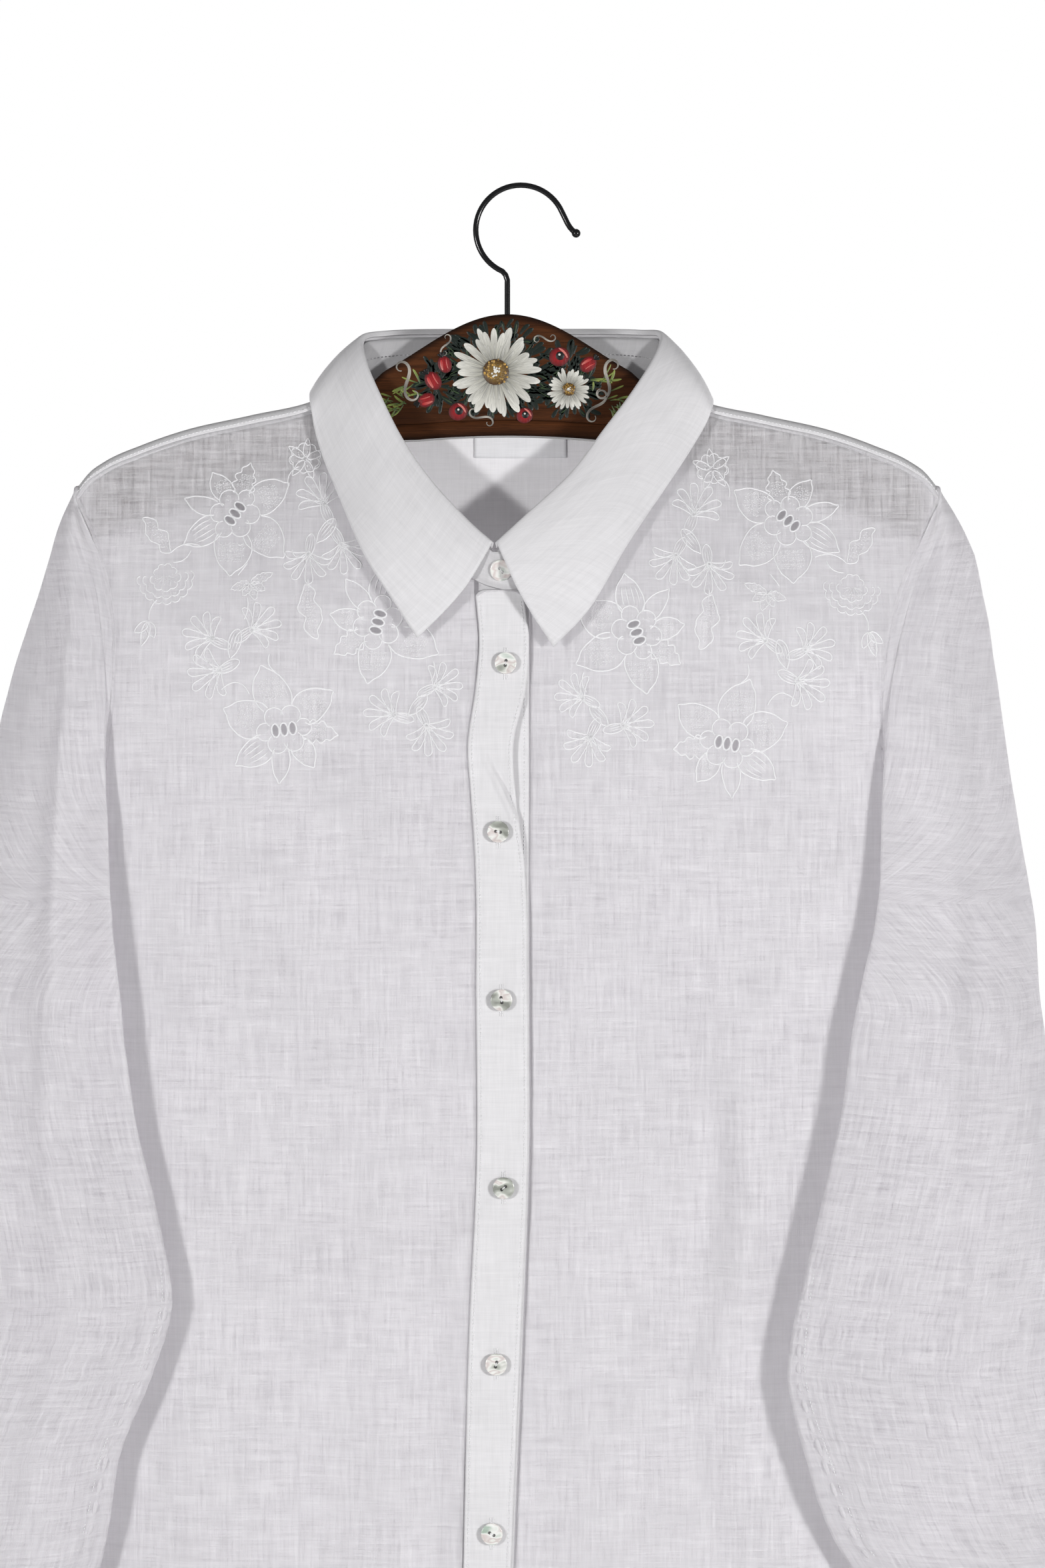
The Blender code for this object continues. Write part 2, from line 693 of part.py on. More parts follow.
def label():
    """A plain woven label inside the back, below the neck seam."""
    width, height = LABEL_SIZE
    off = CLOTH_WALL / 2 + LABEL_OFF + LABEL_WALL / 2
    sections = []
    for row in (0.0, 0.5, 1.0):
        z = LABEL_TOP_Z - height * row
        section = []
        for share in (-0.5, 0.0, 0.5):
            x = LABEL_X + width * share
            section.append(Vector((x, back_y(x, z) - off, z)))
        sections.append(section)
    return thicken(loft("label", sections), LABEL_WALL)


def button(name, spot, facing):
    """A turned disc with a raised rim and a dished middle."""
    half = BUTTON_THICKNESS / 2
    profile = (
        (0.0, half - BUTTON_DISH),
        (BUTTON_RADIUS * 0.62, half - BUTTON_DISH),
        (BUTTON_RADIUS * 0.78, half),
        (BUTTON_RADIUS * 0.92, half),
        (BUTTON_RADIUS, half * 0.3),
        (BUTTON_RADIUS * 0.9, -half),
        (0.0, -half),
    )
    bm = bmesh.new()
    points = [bm.verts.new((x, 0.0, z)) for x, z in profile]
    for a, b in zip(points, points[1:]):
        bm.edges.new((a, b))
    mesh = bpy.data.meshes.new(name)
    bm.to_mesh(mesh)
    bm.free()
    made = bpy.data.objects.new(name, mesh)
    turn = made.modifiers.new("Turn", "SCREW")
    turn.steps = 16
    turn.render_steps = 16
    turn.use_merge_vertices = True
    turn.merge_threshold = MERGE
    made.matrix_local = Matrix.Translation(spot) @ facing.to_track_quat("Z", "Y").to_matrix().to_4x4()
    return made


def front_buttons():
    """The collar button on the stand, then the row down the buttonhole band."""
    clear = SEAM_GAP + BUTTON_THICKNESS / 2
    lower, upper = stand_line("right", 1.0)
    up = (upper - lower).normalized()
    facing = Vector((0.0, -up.z, up.y)).normalized()
    x, z = BUTTONS[0]
    spot = lower.lerp(upper, (z - lower.z) / (upper.z - lower.z))
    spot.x = x
    made = [button("button_1", spot + facing * (CLOTH_WALL / 2 + clear), facing)]
    for number, (x, z) in enumerate(BUTTONS[1:], 2):
        slope = (front_y(x, z + 0.005) - front_y(x, z - 0.005)) / 0.010
        facing = Vector((0.0, -1.0, slope)).normalized()
        spot = Vector((x, front_y(x, z), z))
        made.append(button(f"button_{number}", spot + facing * (LAP_STEP + BAND_WALL / 2 + clear), facing))
    return made


def cuff_button(side):
    """The button at the back of a cuff, over its overlap."""
    z = mixed(CUFF_TOP_Z, CUFF_BOTTOM_Z, 0.5)
    section = sleeve_section(side, z)
    index = sum(SLEEVE_SPAN_STEPS[:7])
    along = section[index + 1] - section[index - 1]
    facing = Vector((along.y, -along.x, 0.0)).normalized()
    if facing.y < 0:
        facing = -facing
    off = BAND_WALL / 2 + SEAM_GAP + BUTTON_THICKNESS / 2
    return button(f"cuff_button_{side}", section[index] + facing * off, facing)


def slot_cutters(side, collection, stem):
    """The slots of one front's flowers as one mesh of short bars through the cloth."""
    bm = bmesh.new()
    for flower in FLOWERS:
        if flower.side != side:
            continue
        heading = math.radians(flower.heading)
        for i in range(SLOTS_PER_FLOWER):
            shift = (i - (SLOTS_PER_FLOWER - 1) / 2) * SLOT_PITCH
            x = flower.x + shift * math.cos(heading)
            z = flower.z + shift * math.sin(heading)
            spot = front_point(x, z, side)
            turned = Matrix.Rotation(math.pi / 2, 4, "X")
            tilt = Matrix.Rotation(-(heading - math.pi / 2), 4, "Y")
            stretch = Matrix.Diagonal((SLOT_LENGTH / SLOT_WIDTH, 1.0, 1.0, 1.0))
            bmesh.ops.create_cone(
                bm,
                cap_ends=True,
                segments=10,
                radius1=SLOT_WIDTH / 2,
                radius2=SLOT_WIDTH / 2,
                depth=0.010,
                matrix=Matrix.Translation(spot) @ tilt @ turned @ stretch,
            )
    mesh = bpy.data.meshes.new(f"slots_{side}")
    bm.to_mesh(mesh)
    bm.free()
    cutter = bpy.data.objects.new(f"slots_{side}", mesh)
    cutter.hide_render = True
    cutter.display_type = "WIRE"
    collection.objects.link(cutter)
    cutter.parent = stem
    return cutter


def cut(obj, cutter):
    boolean = obj.modifiers.new("Cutwork", "BOOLEAN")
    boolean.operation = "DIFFERENCE"
    boolean.solver = "EXACT"
    boolean.object = cutter


def board_top(x):
    """Upper line of the hanger: a domed middle, then the arms just under the cloth."""
    turn = math.pi * min(abs(x) / DOME_HALF, 1.0)
    dome = DOME_TOP_Z - DOME_RISE * (1.0 - math.cos(turn)) / 2
    arm = across(SHOULDER, "ridge", x) - CLOTH_WALL / 2 - BOARD_CLEAR
    return mixed(dome, arm, eased(abs(x), 0.063, 0.079))


def board_bottom(x):
    middle = -0.1295 - 0.0025 * (x / 0.05) ** 2
    arm = board_top(x) - BOARD_ARM_HEIGHT
    return mixed(middle, arm, eased(abs(x), 0.045, 0.085))


def hanger_wood():
    """A flat board cut to the hanger's outline, its edges rounded."""
    xs = [BOARD_END_X * i / 16 for i in range(-16, 17)]
    upper = [(x, board_top(x) - BOARD_EDGE) for x in xs]
    lower = [(x, board_bottom(x) + BOARD_EDGE) for x in xs]
    ends = []
    for sign in (1, -1):
        top = board_top(sign * BOARD_END_X) - BOARD_EDGE
        low = board_bottom(sign * BOARD_END_X) + BOARD_EDGE
        middle = (top + low) / 2
        bulge = [(sign * (BOARD_END_X + 0.0028), mixed(middle, edge, 0.62)) for edge in (top, low)]
        ends.append(bulge if sign == 1 else bulge[::-1])
    outline = upper + ends[0] + lower[::-1] + ends[1]
    curve = bpy.data.curves.new("hanger_wood", "CURVE")
    curve.dimensions = "2D"
    curve.fill_mode = "BOTH"
    curve.extrude = BOARD_THICKNESS / 2 - BOARD_EDGE
    curve.bevel_depth = BOARD_EDGE
    curve.bevel_resolution = 1
    run = curve.splines.new("POLY")
    run.points.add(len(outline) - 1)
    for point, (x, z) in zip(run.points, outline):
        point.co = (x, z, 0.0, 1.0)
    run.use_cyclic_u = True
    made = bpy.data.objects.new("hanger_wood", curve)
    made.rotation_euler = (math.pi / 2, 0.0, 0.0)
    return made


def hook_line():
    """The wire's middle line: up from the wood, round the crook and out to the tip."""
    middle_x = 0.0070
    middle_z = -0.0220
    radius = WIRE_RADIUS - middle_z
    line = [(0.0, board_top(0.0) + SEAM_GAP), (0.0, -0.0560), (0.0, -0.0480), (-0.0008, -0.0452)]
    for degrees in range(246, 9, -12):
        angle = math.radians(degrees)
        line.append((middle_x + radius * math.cos(angle), middle_z + radius * math.sin(angle)))
    line += [(0.0315, -0.0180), (0.0333, -0.0212), (0.0358, -0.0236)]
    return line


def hanger_hook():
    """The wire hook with the ball at its tip, united in one solid."""
    curve = bpy.data.curves.new("hook_line", "CURVE")
    curve.dimensions = "3D"
    curve.bevel_depth = WIRE_RADIUS
    curve.bevel_resolution = 2
    curve.use_fill_caps = True
    line = hook_line()
    run = curve.splines.new("POLY")
    run.points.add(len(line) - 1)
    for point, (x, z) in zip(run.points, line):
        point.co = (x, 0.0, z, 1.0)
    wire = bpy.data.objects.new("hook_line", curve)
    bpy.context.scene.collection.objects.link(wire)
    graph = bpy.context.evaluated_depsgraph_get()
    mesh = bpy.data.meshes.new_from_object(wire.evaluated_get(graph))
    bpy.data.objects.remove(wire)
    bm = bmesh.new()
    bm.from_mesh(mesh)
    bmesh.ops.remove_doubles(bm, verts=bm.verts, dist=MERGE)
    bm.to_mesh(mesh)
    bm.free()
    mesh.shade_smooth()
    return bpy.data.objects.new("hanger_hook", mesh)


def hook_ball(collection, stem):
    bm = bmesh.new()
    x, z = hook_line()[-1]
    spot = Matrix.Translation((x, 0.0, z))
    bmesh.ops.create_uvsphere(bm, u_segments=12, v_segments=8, radius=BALL_RADIUS, matrix=spot)
    mesh = bpy.data.meshes.new("hook_ball")
    bm.to_mesh(mesh)
    bm.free()
    ball = bpy.data.objects.new("hook_ball", mesh)
    ball.hide_render = True
    ball.display_type = "WIRE"
    collection.objects.link(ball)
    ball.parent = stem
    return ball


def main():
    for obj in list(bpy.data.objects):
        bpy.data.objects.remove(obj)
    shirt = bpy.data.collections.new("embroidered_shirt")
    cutters = bpy.data.collections.new("cutters")
    for collection in (shirt, cutters):
        bpy.context.scene.collection.children.link(collection)
    stem = bpy.data.objects.new("stem", None)
    stem.location = (STEM_X, 0.0, 0.0)
    shirt.objects.link(stem)

    linen = material("linen", (0.80, 0.79, 0.81), 0.85)
    linen_band = material("linen_band", (0.78, 0.77, 0.79), 0.85)
    woven = material("woven_label", (0.86, 0.86, 0.86), 0.7)
    shell = material("shell", (0.62, 0.62, 0.60), 0.25)
    wood = material("wood", (0.16, 0.07, 0.03), 0.45)
    black = material("black_wire", (0.01, 0.01, 0.011), 0.3, 0.6)

    for side in SIDES:
        front = front_panel(side)
        cut(front, slot_cutters(side, cutters, stem))
        place(front, linen, shirt, stem)
        place(sleeve(side), linen, shirt, stem)
        place(cuff(side), linen_band, shirt, stem)
        place(cuff_button(side), shell, shirt, stem)
    place(back_panel(), linen, shirt, stem)
    place(collar_leaf(), linen_band, shirt, stem)
    place(collar_stand(), linen_band, shirt, stem)
    place(placket_over(), linen_band, shirt, stem)
    place(placket_under(), linen_band, shirt, stem)
    place(label(), woven, shirt, stem)
    for made in front_buttons():
        place(made, shell, shirt, stem)
    place(hanger_wood(), wood, shirt, stem)
    hook = hanger_hook()
    place(hook, black, shirt, stem)
    joined = hook.modifiers.new("Ball", "BOOLEAN")
    joined.operation = "UNION"
    joined.solver = "EXACT"
    joined.object = hook_ball(cutters, stem)


main()
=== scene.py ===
"""Embroidered linen shirt on a painted hanger: cloth, sewing, whitework, shell buttons and wood.

Metres, +Z up, the front faces -Y. Shapes are worked out from the middle of the hanger, and
every mesh is moved by STEM_X as it is made, so that the hook carries the origin.
"""

import math
from collections import namedtuple
from functools import partial

import bmesh
import bpy
import numpy as np
from mathutils import Matrix, Vector


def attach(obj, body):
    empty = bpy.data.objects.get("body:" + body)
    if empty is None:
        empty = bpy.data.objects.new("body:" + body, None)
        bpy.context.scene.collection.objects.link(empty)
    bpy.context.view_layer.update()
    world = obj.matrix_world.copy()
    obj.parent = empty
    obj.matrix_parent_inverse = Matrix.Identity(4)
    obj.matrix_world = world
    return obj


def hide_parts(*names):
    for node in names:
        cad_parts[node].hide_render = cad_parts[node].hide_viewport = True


bl_info = {
    "name": "Embroidered shirt on a hanger",
    "version": (1, 0, 0),
    "blender": (4, 5, 0),
    "location": "3D View > Sidebar > Shirt",
    "description": "Makes the linen, sewing, buttons and hanger of an embroidered shirt",
    "category": "Add Mesh",
}

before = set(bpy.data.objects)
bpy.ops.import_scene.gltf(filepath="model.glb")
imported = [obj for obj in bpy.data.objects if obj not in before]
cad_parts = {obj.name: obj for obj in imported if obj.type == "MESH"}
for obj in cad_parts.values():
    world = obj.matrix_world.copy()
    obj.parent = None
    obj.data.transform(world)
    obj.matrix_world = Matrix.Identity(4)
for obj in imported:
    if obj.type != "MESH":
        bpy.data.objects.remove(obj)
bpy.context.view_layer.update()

# The garment's frame, as the solids have it
STEM_X = -0.0076
SEAM_GAP = 0.0003
HEM_Z = -0.840
HEM_STITCH_Z = HEM_Z + 0.012
UNDERARM_Z = -0.370
CUFF_TOP_Z = -0.722
CUFF_BOTTOM_Z = -0.778
SIDES = {"right": -1, "left": 1}
SLEEVE_BACK_OFF = 0.0010
SEAM_SHOWS_Z = -0.552
ARCH_OFF = 0.0013
LAY_CLEAR = 0.0022
LAY_MORE = 0.0026
RIDGE_HALF = 0.008
RIDGE_DROP = 0.006
NECK_X = 0.084
SHOULDER_X = 0.2235

# The hanger
BOARD_THICKNESS = 0.0126
BOARD_CLEAR = 0.0038
CLOTH_HALF = 0.0007
DOME_TOP_Z = -0.0664
DOME_RISE = 0.0385
DOME_HALF = 0.094
BOARD_END_X = 0.216
BOARD_ARM_HEIGHT = 0.038
BOARD_END_RADIUS = 0.010
BOARD_EDGE_RADIUS = 0.0030
BEAD_Z = 0.0082
WIRE_RADIUS = 0.00145
BALL_RADIUS = 0.0023

# The overlap, buttons and cutwork
BAND_TOP_Z = -0.2135
BAND_RISE = 0.0022
BAND_WIDTH = 0.027
BAND_GAP = 0.0006
BUTTONHOLE_HALF = 0.0082
LAP_STEP = 0.0022
LAP_EASE = 0.030
SLOT_LENGTH = 0.0056
SLOT_WIDTH = 0.0027
SLOT_PITCH = 0.0044

Level = namedtuple("Level", "z side front back")
BODY = (
    Level(-0.060, 0.236, 0.040, 0.034),
    Level(-0.200, 0.236, 0.044, 0.038),
    Level(-0.300, 0.236, 0.049, 0.042),
    Level(-0.370, 0.236, 0.051, 0.044),
    Level(-0.450, 0.234, 0.052, 0.045),
    Level(-0.570, 0.231, 0.051, 0.046),
    Level(-0.700, 0.237, 0.053, 0.048),
    Level(-0.840, 0.247, 0.056, 0.050),
)

Shoulder = namedtuple("Shoulder", "x ridge front_start back_start")
SHOULDER = (
    Shoulder(0.000, -0.1005, -0.090, -0.062),
    Shoulder(0.034, -0.1005, -0.092, -0.072),
    Shoulder(0.060, -0.1010, -0.097, -0.088),
    Shoulder(0.084, -0.1030, -0.103, -0.103),
    Shoulder(0.101, -0.1110, -0.111, -0.111),
    Shoulder(0.133, -0.1185, -0.1185, -0.1185),
    Shoulder(0.170, -0.127, -0.127, -0.127),
    Shoulder(0.190, -0.134, -0.134, -0.134),
    Shoulder(0.210, -0.1430, -0.1430, -0.1430),
    Shoulder(0.2170, -0.1480, -0.1480, -0.1480),
    Shoulder(0.2235, -0.1560, -0.1560, -0.1560),
)

Neck = namedtuple("Neck", "x front_seam")
NECK = (
    Neck(0.000, -0.2125),
    Neck(0.012, -0.2090),
    Neck(0.032, -0.1950),
    Neck(0.054, -0.1690),
    Neck(0.072, -0.1400),
    Neck(0.084, -0.1090),
)

Armhole = namedtuple("Armhole", "z right left")
ARMHOLE = (
    Armhole(-0.150, 0.2235, 0.2235),
    Armhole(-0.156, 0.2235, 0.2235),
    Armhole(-0.178, 0.2155, 0.2165),
    Armhole(-0.200, 0.2085, 0.2070),
    Armhole(-0.224, 0.2035, 0.1990),
    Armhole(-0.255, 0.2030, 0.1935),
    Armhole(-0.290, 0.2060, 0.1930),
    Armhole(-0.325, 0.2125, 0.2000),
    Armhole(-0.352, 0.2235, 0.2200),
    Armhole(-0.370, 0.2360, 0.2360),
)

Sleeve = namedtuple("Sleeve", "z inner outer lift outer_y front_full back_full valley")
SLEEVE = {
    "right": (
        Sleeve(-0.156, 0.2243, 0.2258, 0.000, 0.000, 0.001, 0.001, 0.000),
        Sleeve(-0.178, 0.2220, 0.2336, 0.000, -0.001, 0.003, 0.003, 0.000),
        Sleeve(-0.215, 0.2130, 0.2446, 0.001, -0.002, 0.005, 0.006, 0.000),
        Sleeve(-0.250, 0.2085, 0.2560, 0.003, -0.003, 0.007, 0.009, 0.001),
        Sleeve(-0.290, 0.2072, 0.2660, 0.007, -0.004, 0.009, 0.012, 0.002),
        Sleeve(-0.330, 0.2052, 0.2740, 0.011, -0.006, 0.010, 0.014, 0.004),
        Sleeve(-0.370, 0.2025, 0.2810, 0.014, -0.008, 0.012, 0.016, 0.006),
        Sleeve(-0.420, 0.1980, 0.2890, 0.016, -0.011, 0.014, 0.018, 0.008),
        Sleeve(-0.480, 0.1905, 0.2975, 0.017, -0.014, 0.015, 0.018, 0.008),
        Sleeve(-0.540, 0.1770, 0.3050, 0.018, -0.017, 0.015, 0.017, 0.007),
        Sleeve(-0.575, 0.1720, 0.3080, 0.018, -0.018, 0.014, 0.016, 0.006),
        Sleeve(-0.610, 0.1820, 0.3110, 0.018, -0.018, 0.014, 0.016, 0.006),
        Sleeve(-0.650, 0.1980, 0.3150, 0.017, -0.018, 0.014, 0.016, 0.005),
        Sleeve(-0.690, 0.2045, 0.3190, 0.016, -0.018, 0.013, 0.016, 0.002),
        Sleeve(-0.722, 0.2125, 0.3220, 0.014, -0.018, 0.011, 0.014, 0.000),
        Sleeve(-0.780, 0.2170, 0.3220, 0.014, -0.018, 0.010, 0.013, 0.000),
    ),
    "left": (
        Sleeve(-0.156, 0.2245, 0.2270, 0.000, 0.000, 0.001, 0.001, 0.000),
        Sleeve(-0.178, 0.2235, 0.2385, 0.000, -0.001, 0.003, 0.003, 0.000),
        Sleeve(-0.215, 0.2095, 0.2477, 0.001, -0.002, 0.005, 0.006, 0.000),
        Sleeve(-0.250, 0.2005, 0.2535, 0.003, -0.003, 0.007, 0.009, 0.000),
        Sleeve(-0.290, 0.1950, 0.2590, 0.007, -0.004, 0.009, 0.012, 0.000),
        Sleeve(-0.330, 0.1918, 0.2650, 0.011, -0.006, 0.010, 0.014, 0.001),
        Sleeve(-0.370, 0.1892, 0.2715, 0.014, -0.008, 0.012, 0.016, 0.002),
        Sleeve(-0.420, 0.1795, 0.2760, 0.016, -0.011, 0.014, 0.018, 0.003),
        Sleeve(-0.480, 0.1705, 0.2815, 0.017, -0.014, 0.015, 0.018, 0.003),
        Sleeve(-0.540, 0.1575, 0.2855, 0.018, -0.017, 0.015, 0.017, 0.003),
        Sleeve(-0.575, 0.1495, 0.2880, 0.018, -0.018, 0.014, 0.016, 0.003),
        Sleeve(-0.610, 0.1445, 0.2905, 0.018, -0.018, 0.014, 0.016, 0.003),
        Sleeve(-0.650, 0.1530, 0.2940, 0.017, -0.018, 0.014, 0.016, 0.003),
        Sleeve(-0.690, 0.1660, 0.2985, 0.016, -0.018, 0.013, 0.016, 0.002),
        Sleeve(-0.722, 0.1850, 0.3000, 0.014, -0.018, 0.011, 0.014, 0.000),
        Sleeve(-0.780, 0.1900, 0.2990, 0.014, -0.018, 0.010, 0.013, 0.000),
    ),
}

Band = namedtuple("Band", "z seam free under")
BANDS = (
    Band(-0.213, -0.0162, 0.0085, 0.0112),
    Band(-0.238, -0.0143, 0.0112, 0.0114),
    Band(-0.262, -0.0162, 0.0095, 0.0114),
    Band(-0.290, -0.0200, 0.0034, 0.0114),
    Band(-0.317, -0.0184, 0.0045, 0.0114),
    Band(-0.345, -0.0165, 0.0083, 0.0112),
    Band(-0.420, -0.0158, 0.0105, 0.0114),
    Band(-0.500, -0.0155, 0.0106, 0.0114),
    Band(-0.590, -0.0194, 0.0070, 0.0082),
    Band(-0.715, -0.0224, 0.0018, 0.0032),
    Band(-0.840, -0.0250, -0.0010, 0.0004),
)

Collar = namedtuple("Collar", "turn fold_x fold_z fold_y edge_x edge_z")
COLLAR = {
    "right": (
        Collar(1.00, -0.0080, -0.1880, -0.0500, -0.0458, -0.2360),
        Collar(0.88, -0.0210, -0.1760, -0.0450, -0.0580, -0.2170),
        Collar(0.75, -0.0400, -0.1550, -0.0375, -0.0730, -0.1930),
        Collar(0.62, -0.0550, -0.1330, -0.0290, -0.0870, -0.1610),
        Collar(0.50, -0.0670, -0.1090, -0.0190, -0.0965, -0.1370),
        Collar(0.40, -0.0750, -0.0900, -0.0070, -0.1010, -0.1190),
        Collar(0.31, -0.0770, -0.0775, 0.0070, -0.1010, -0.1052),
        Collar(0.20, -0.0640, -0.0730, 0.0200, -0.0800, -0.1130),
        Collar(0.00, 0.0050, -0.0715, 0.0265, 0.0000, -0.1160),
    ),
    "left": (
        Collar(1.00, -0.0050, -0.1880, -0.0500, 0.0237, -0.2405),
        Collar(0.88, 0.0110, -0.1730, -0.0455, 0.0420, -0.2210),
        Collar(0.75, 0.0340, -0.1510, -0.0385, 0.0615, -0.1880),
        Collar(0.62, 0.0510, -0.1280, -0.0295, 0.0800, -0.1600),
        Collar(0.50, 0.0670, -0.1060, -0.0195, 0.0945, -0.1380),
        Collar(0.40, 0.0785, -0.0870, -0.0070, 0.1050, -0.1190),
        Collar(0.31, 0.0815, -0.0755, 0.0070, 0.1050, -0.1085),
        Collar(0.20, 0.0690, -0.0725, 0.0200, 0.0840, -0.1130),
        Collar(0.00, 0.0050, -0.0715, 0.0265, 0.0000, -0.1160),
    ),
}
LEAF_BOW = {"right": 0.0056, "left": -0.0033}
LEAF_ROLL = 0.0020
LEAF_OFF_BODY = 0.0045
LEAF_FULL = 0.0030
STAND_TOP_DROP = 0.0020
STAND_INSET = 0.0015
STAND_LAPS = {"right": 0.0065, "left": -0.0145}
STAND_OFF_SEAM = 0.0029
ROLL_TURNS = (0.30, 0.42)
LABEL_X = 0.0068
LABEL_SIZE = (0.048, 0.032)
LABEL_TOP_Z = -0.1065
LABEL_OFF = 0.0012

Flower = namedtuple("Flower", "side x z heading turn way")
FLOWERS = (
    Flower("right", -0.1405, -0.1706, 55.0, 73.0, 1),
    Flower("right", -0.0659, -0.2276, 75.0, 217.0, -1),
    Flower("right", -0.1138, -0.2824, 8.0, -5.0, -1),
    Flower("left", 0.1450, -0.1744, -40.0, 107.0, -1),
    Flower("left", 0.0660, -0.2329, -70.0, -37.0, 1),
    Flower("left", 0.1122, -0.2896, -12.0, 185.0, 1),
)

# The petals of a large flower, counted round from its ragged leaf: millimetres and degrees
Petal = namedtuple("Petal", "angle length width bend kind")
PETALS = (
    Petal(0, 28, 11, 0.5, "ragged"),
    Petal(42, 25, 12, 2.0, "seeded"),
    Petal(92, 28, 10, -1.0, "plain"),
    Petal(136, 31, 15, 1.5, "striped"),
    Petal(193, 33, 21, 0.5, "seeded"),
    Petal(249, 35, 20, -2.5, "seeded"),
    Petal(313, 32, 18, 2.0, "seeded"),
)

# The smaller motifs of the right front, in millimetres; the left front mirrors them
Motif = namedtuple("Motif", "kind x z heading size")
MOTIFS = (
    Motif("fan", -94.6, -166.0, 112, 15),
    Motif("pod", -93.5, -180.0, 228, 16),
    Motif("fan", -85.0, -187.5, -62, 14),
    Motif("fan", -102.0, -192.0, -98, 14),
    Motif("wavy", -103.5, -208.0, -78, 29),
    Motif("wavy", -173.5, -191.0, 128, 24),
    Motif("rose", -176.0, -203.0, -85, 12),
    Motif("bud", -184.5, -227.0, -105, 13),
    Motif("sprig", -131.8, -207.0, -75, 13),
    Motif("fan", -130.5, -231.5, 35, 14),
    Motif("pod", -140.0, -238.5, 250, 16),
    Motif("fan", -151.0, -236.0, 155, 14),
    Motif("fan", -147.0, -252.0, 205, 15),
    Motif("fan", -37.0, -261.0, 25, 13),
    Motif("pod", -46.0, -270.0, 222, 14),
    Motif("fan", -57.5, -275.0, 165, 14),
    Motif("fan", -41.0, -280.5, -65, 14),
    Motif("rosette", -104.5, -142.0, 80, 12),
)

# Stems between the motifs, as bowed lines in millimetres: ends and how far the middle bows out
Stem = namedtuple("Stem", "x0 z0 x1 z1 bow")
STEMS = (
    Stem(-113.0, -157.0, -108.0, -146.0, 2.5),
    Stem(-110.5, -190.0, -103.5, -192.0, -3.0),
    Stem(-157.0, -188.0, -173.5, -191.0, -3.0),
    Stem(-163.0, -190.0, -172.0, -196.0, 2.0),
    Stem(-180.0, -215.5, -184.0, -226.0, -1.5),
    Stem(-138.0, -203.0, -133.5, -197.0, 0.0),
    Stem(-133.0, -215.0, -134.5, -226.0, 1.0),
    Stem(-102.0, -205.5, -101.5, -210.0, 0.0),
    Stem(-146.0, -262.0, -131.5, -264.5, 5.0),
    Stem(-37.5, -248.0, -39.0, -258.0, 1.5),
    Stem(-118.0, -253.0, -121.5, -244.0, 2.0),
)
MIRROR_SHIFT = (1.5, -5.5)

# Soft creases in millimetres, a ridge where the height is above 0: the ends of each, its bow
# sideways, its height and half-width
Crease = namedtuple("Crease", "x0 z0 x1 z1 bow height width")
FRONT_CREASES = {
    "right": (
        Crease(-170, -300, -118, -372, 4, 0.9, 9),
        Crease(-160, -318, -130, -352, 2, -0.6, 6),
        Crease(-190, -360, -120, -520, -8, 1.0, 14),
        Crease(-38, -520, -26, -760, 3, -0.9, 7),
        Crease(-60, -560, -46, -800, 3, 1.4, 13),
        Crease(-120, -420, -100, -800, -6, -1.6, 22),
        Crease(-165, -420, -150, -800, 6, 2.0, 20),
        Crease(-95, -250, -60, -430, 6, -1.2, 16),
        Crease(-60, -300, -34, -380, 2, 0.5, 7),
        Crease(-205, -180, -150, -148, 3, -0.5, 7),
        Crease(-128, -128, -142, -158, 1, -0.5, 4),
    ),
    "left": (
        Crease(100, -430, 92, -600, -9, -2.2, 12),
        Crease(118, -420, 110, -620, -8, 2.3, 13),
        Crease(128, -460, 124, -620, 3, 1.0, 12),
        Crease(100, -560, 142, -700, 4, 2.0, 9),
        Crease(84, -590, 120, -730, 3, -1.9, 8),
        Crease(60, -300, 70, -560, -5, -2.1, 24),
        Crease(40, -560, 52, -820, 3, 1.5, 15),
        Crease(160, -360, 118, -450, -4, 0.9, 9),
        Crease(176, -320, 140, -380, -3, -0.7, 7),
        Crease(150, -640, 160, -830, 4, 1.9, 15),
        Crease(200, -190, 150, -160, -3, -0.5, 7),
        Crease(100, -122, 112, -150, 1, -0.5, 4),
    ),
}
# How much deeper the fronts' creases are drawn than their table says
FRONT_FOLD_DEPTH = 1.9
BACK_CREASES = (
    Crease(-150, -150, -90, -330, 8, 1.2, 16),
    Crease(-110, -170, -70, -420, 6, -1.0, 14),
    Crease(150, -160, 96, -330, -8, 1.2, 15),
    Crease(112, -180, 64, -440, -6, -1.0, 13),
    Crease(-60, -430, -48, -820, 5, 1.5, 18),
    Crease(-20, -480, -6, -820, 4, -1.2, 16),
    Crease(30, -400, 42, -820, -6, 1.5, 17),
    Crease(86, -440, 96, -820, 5, -1.3, 18),
    Crease(-110, -470, -118, -820, -5, -1.2, 18),
    Crease(-150, -420, -166, -820, 4, 1.3, 20),
    Crease(150, -430, 160, -820, -4, 1.4, 20),
    Crease(-10, -130, -14, -300, 2, 0.6, 10),
)
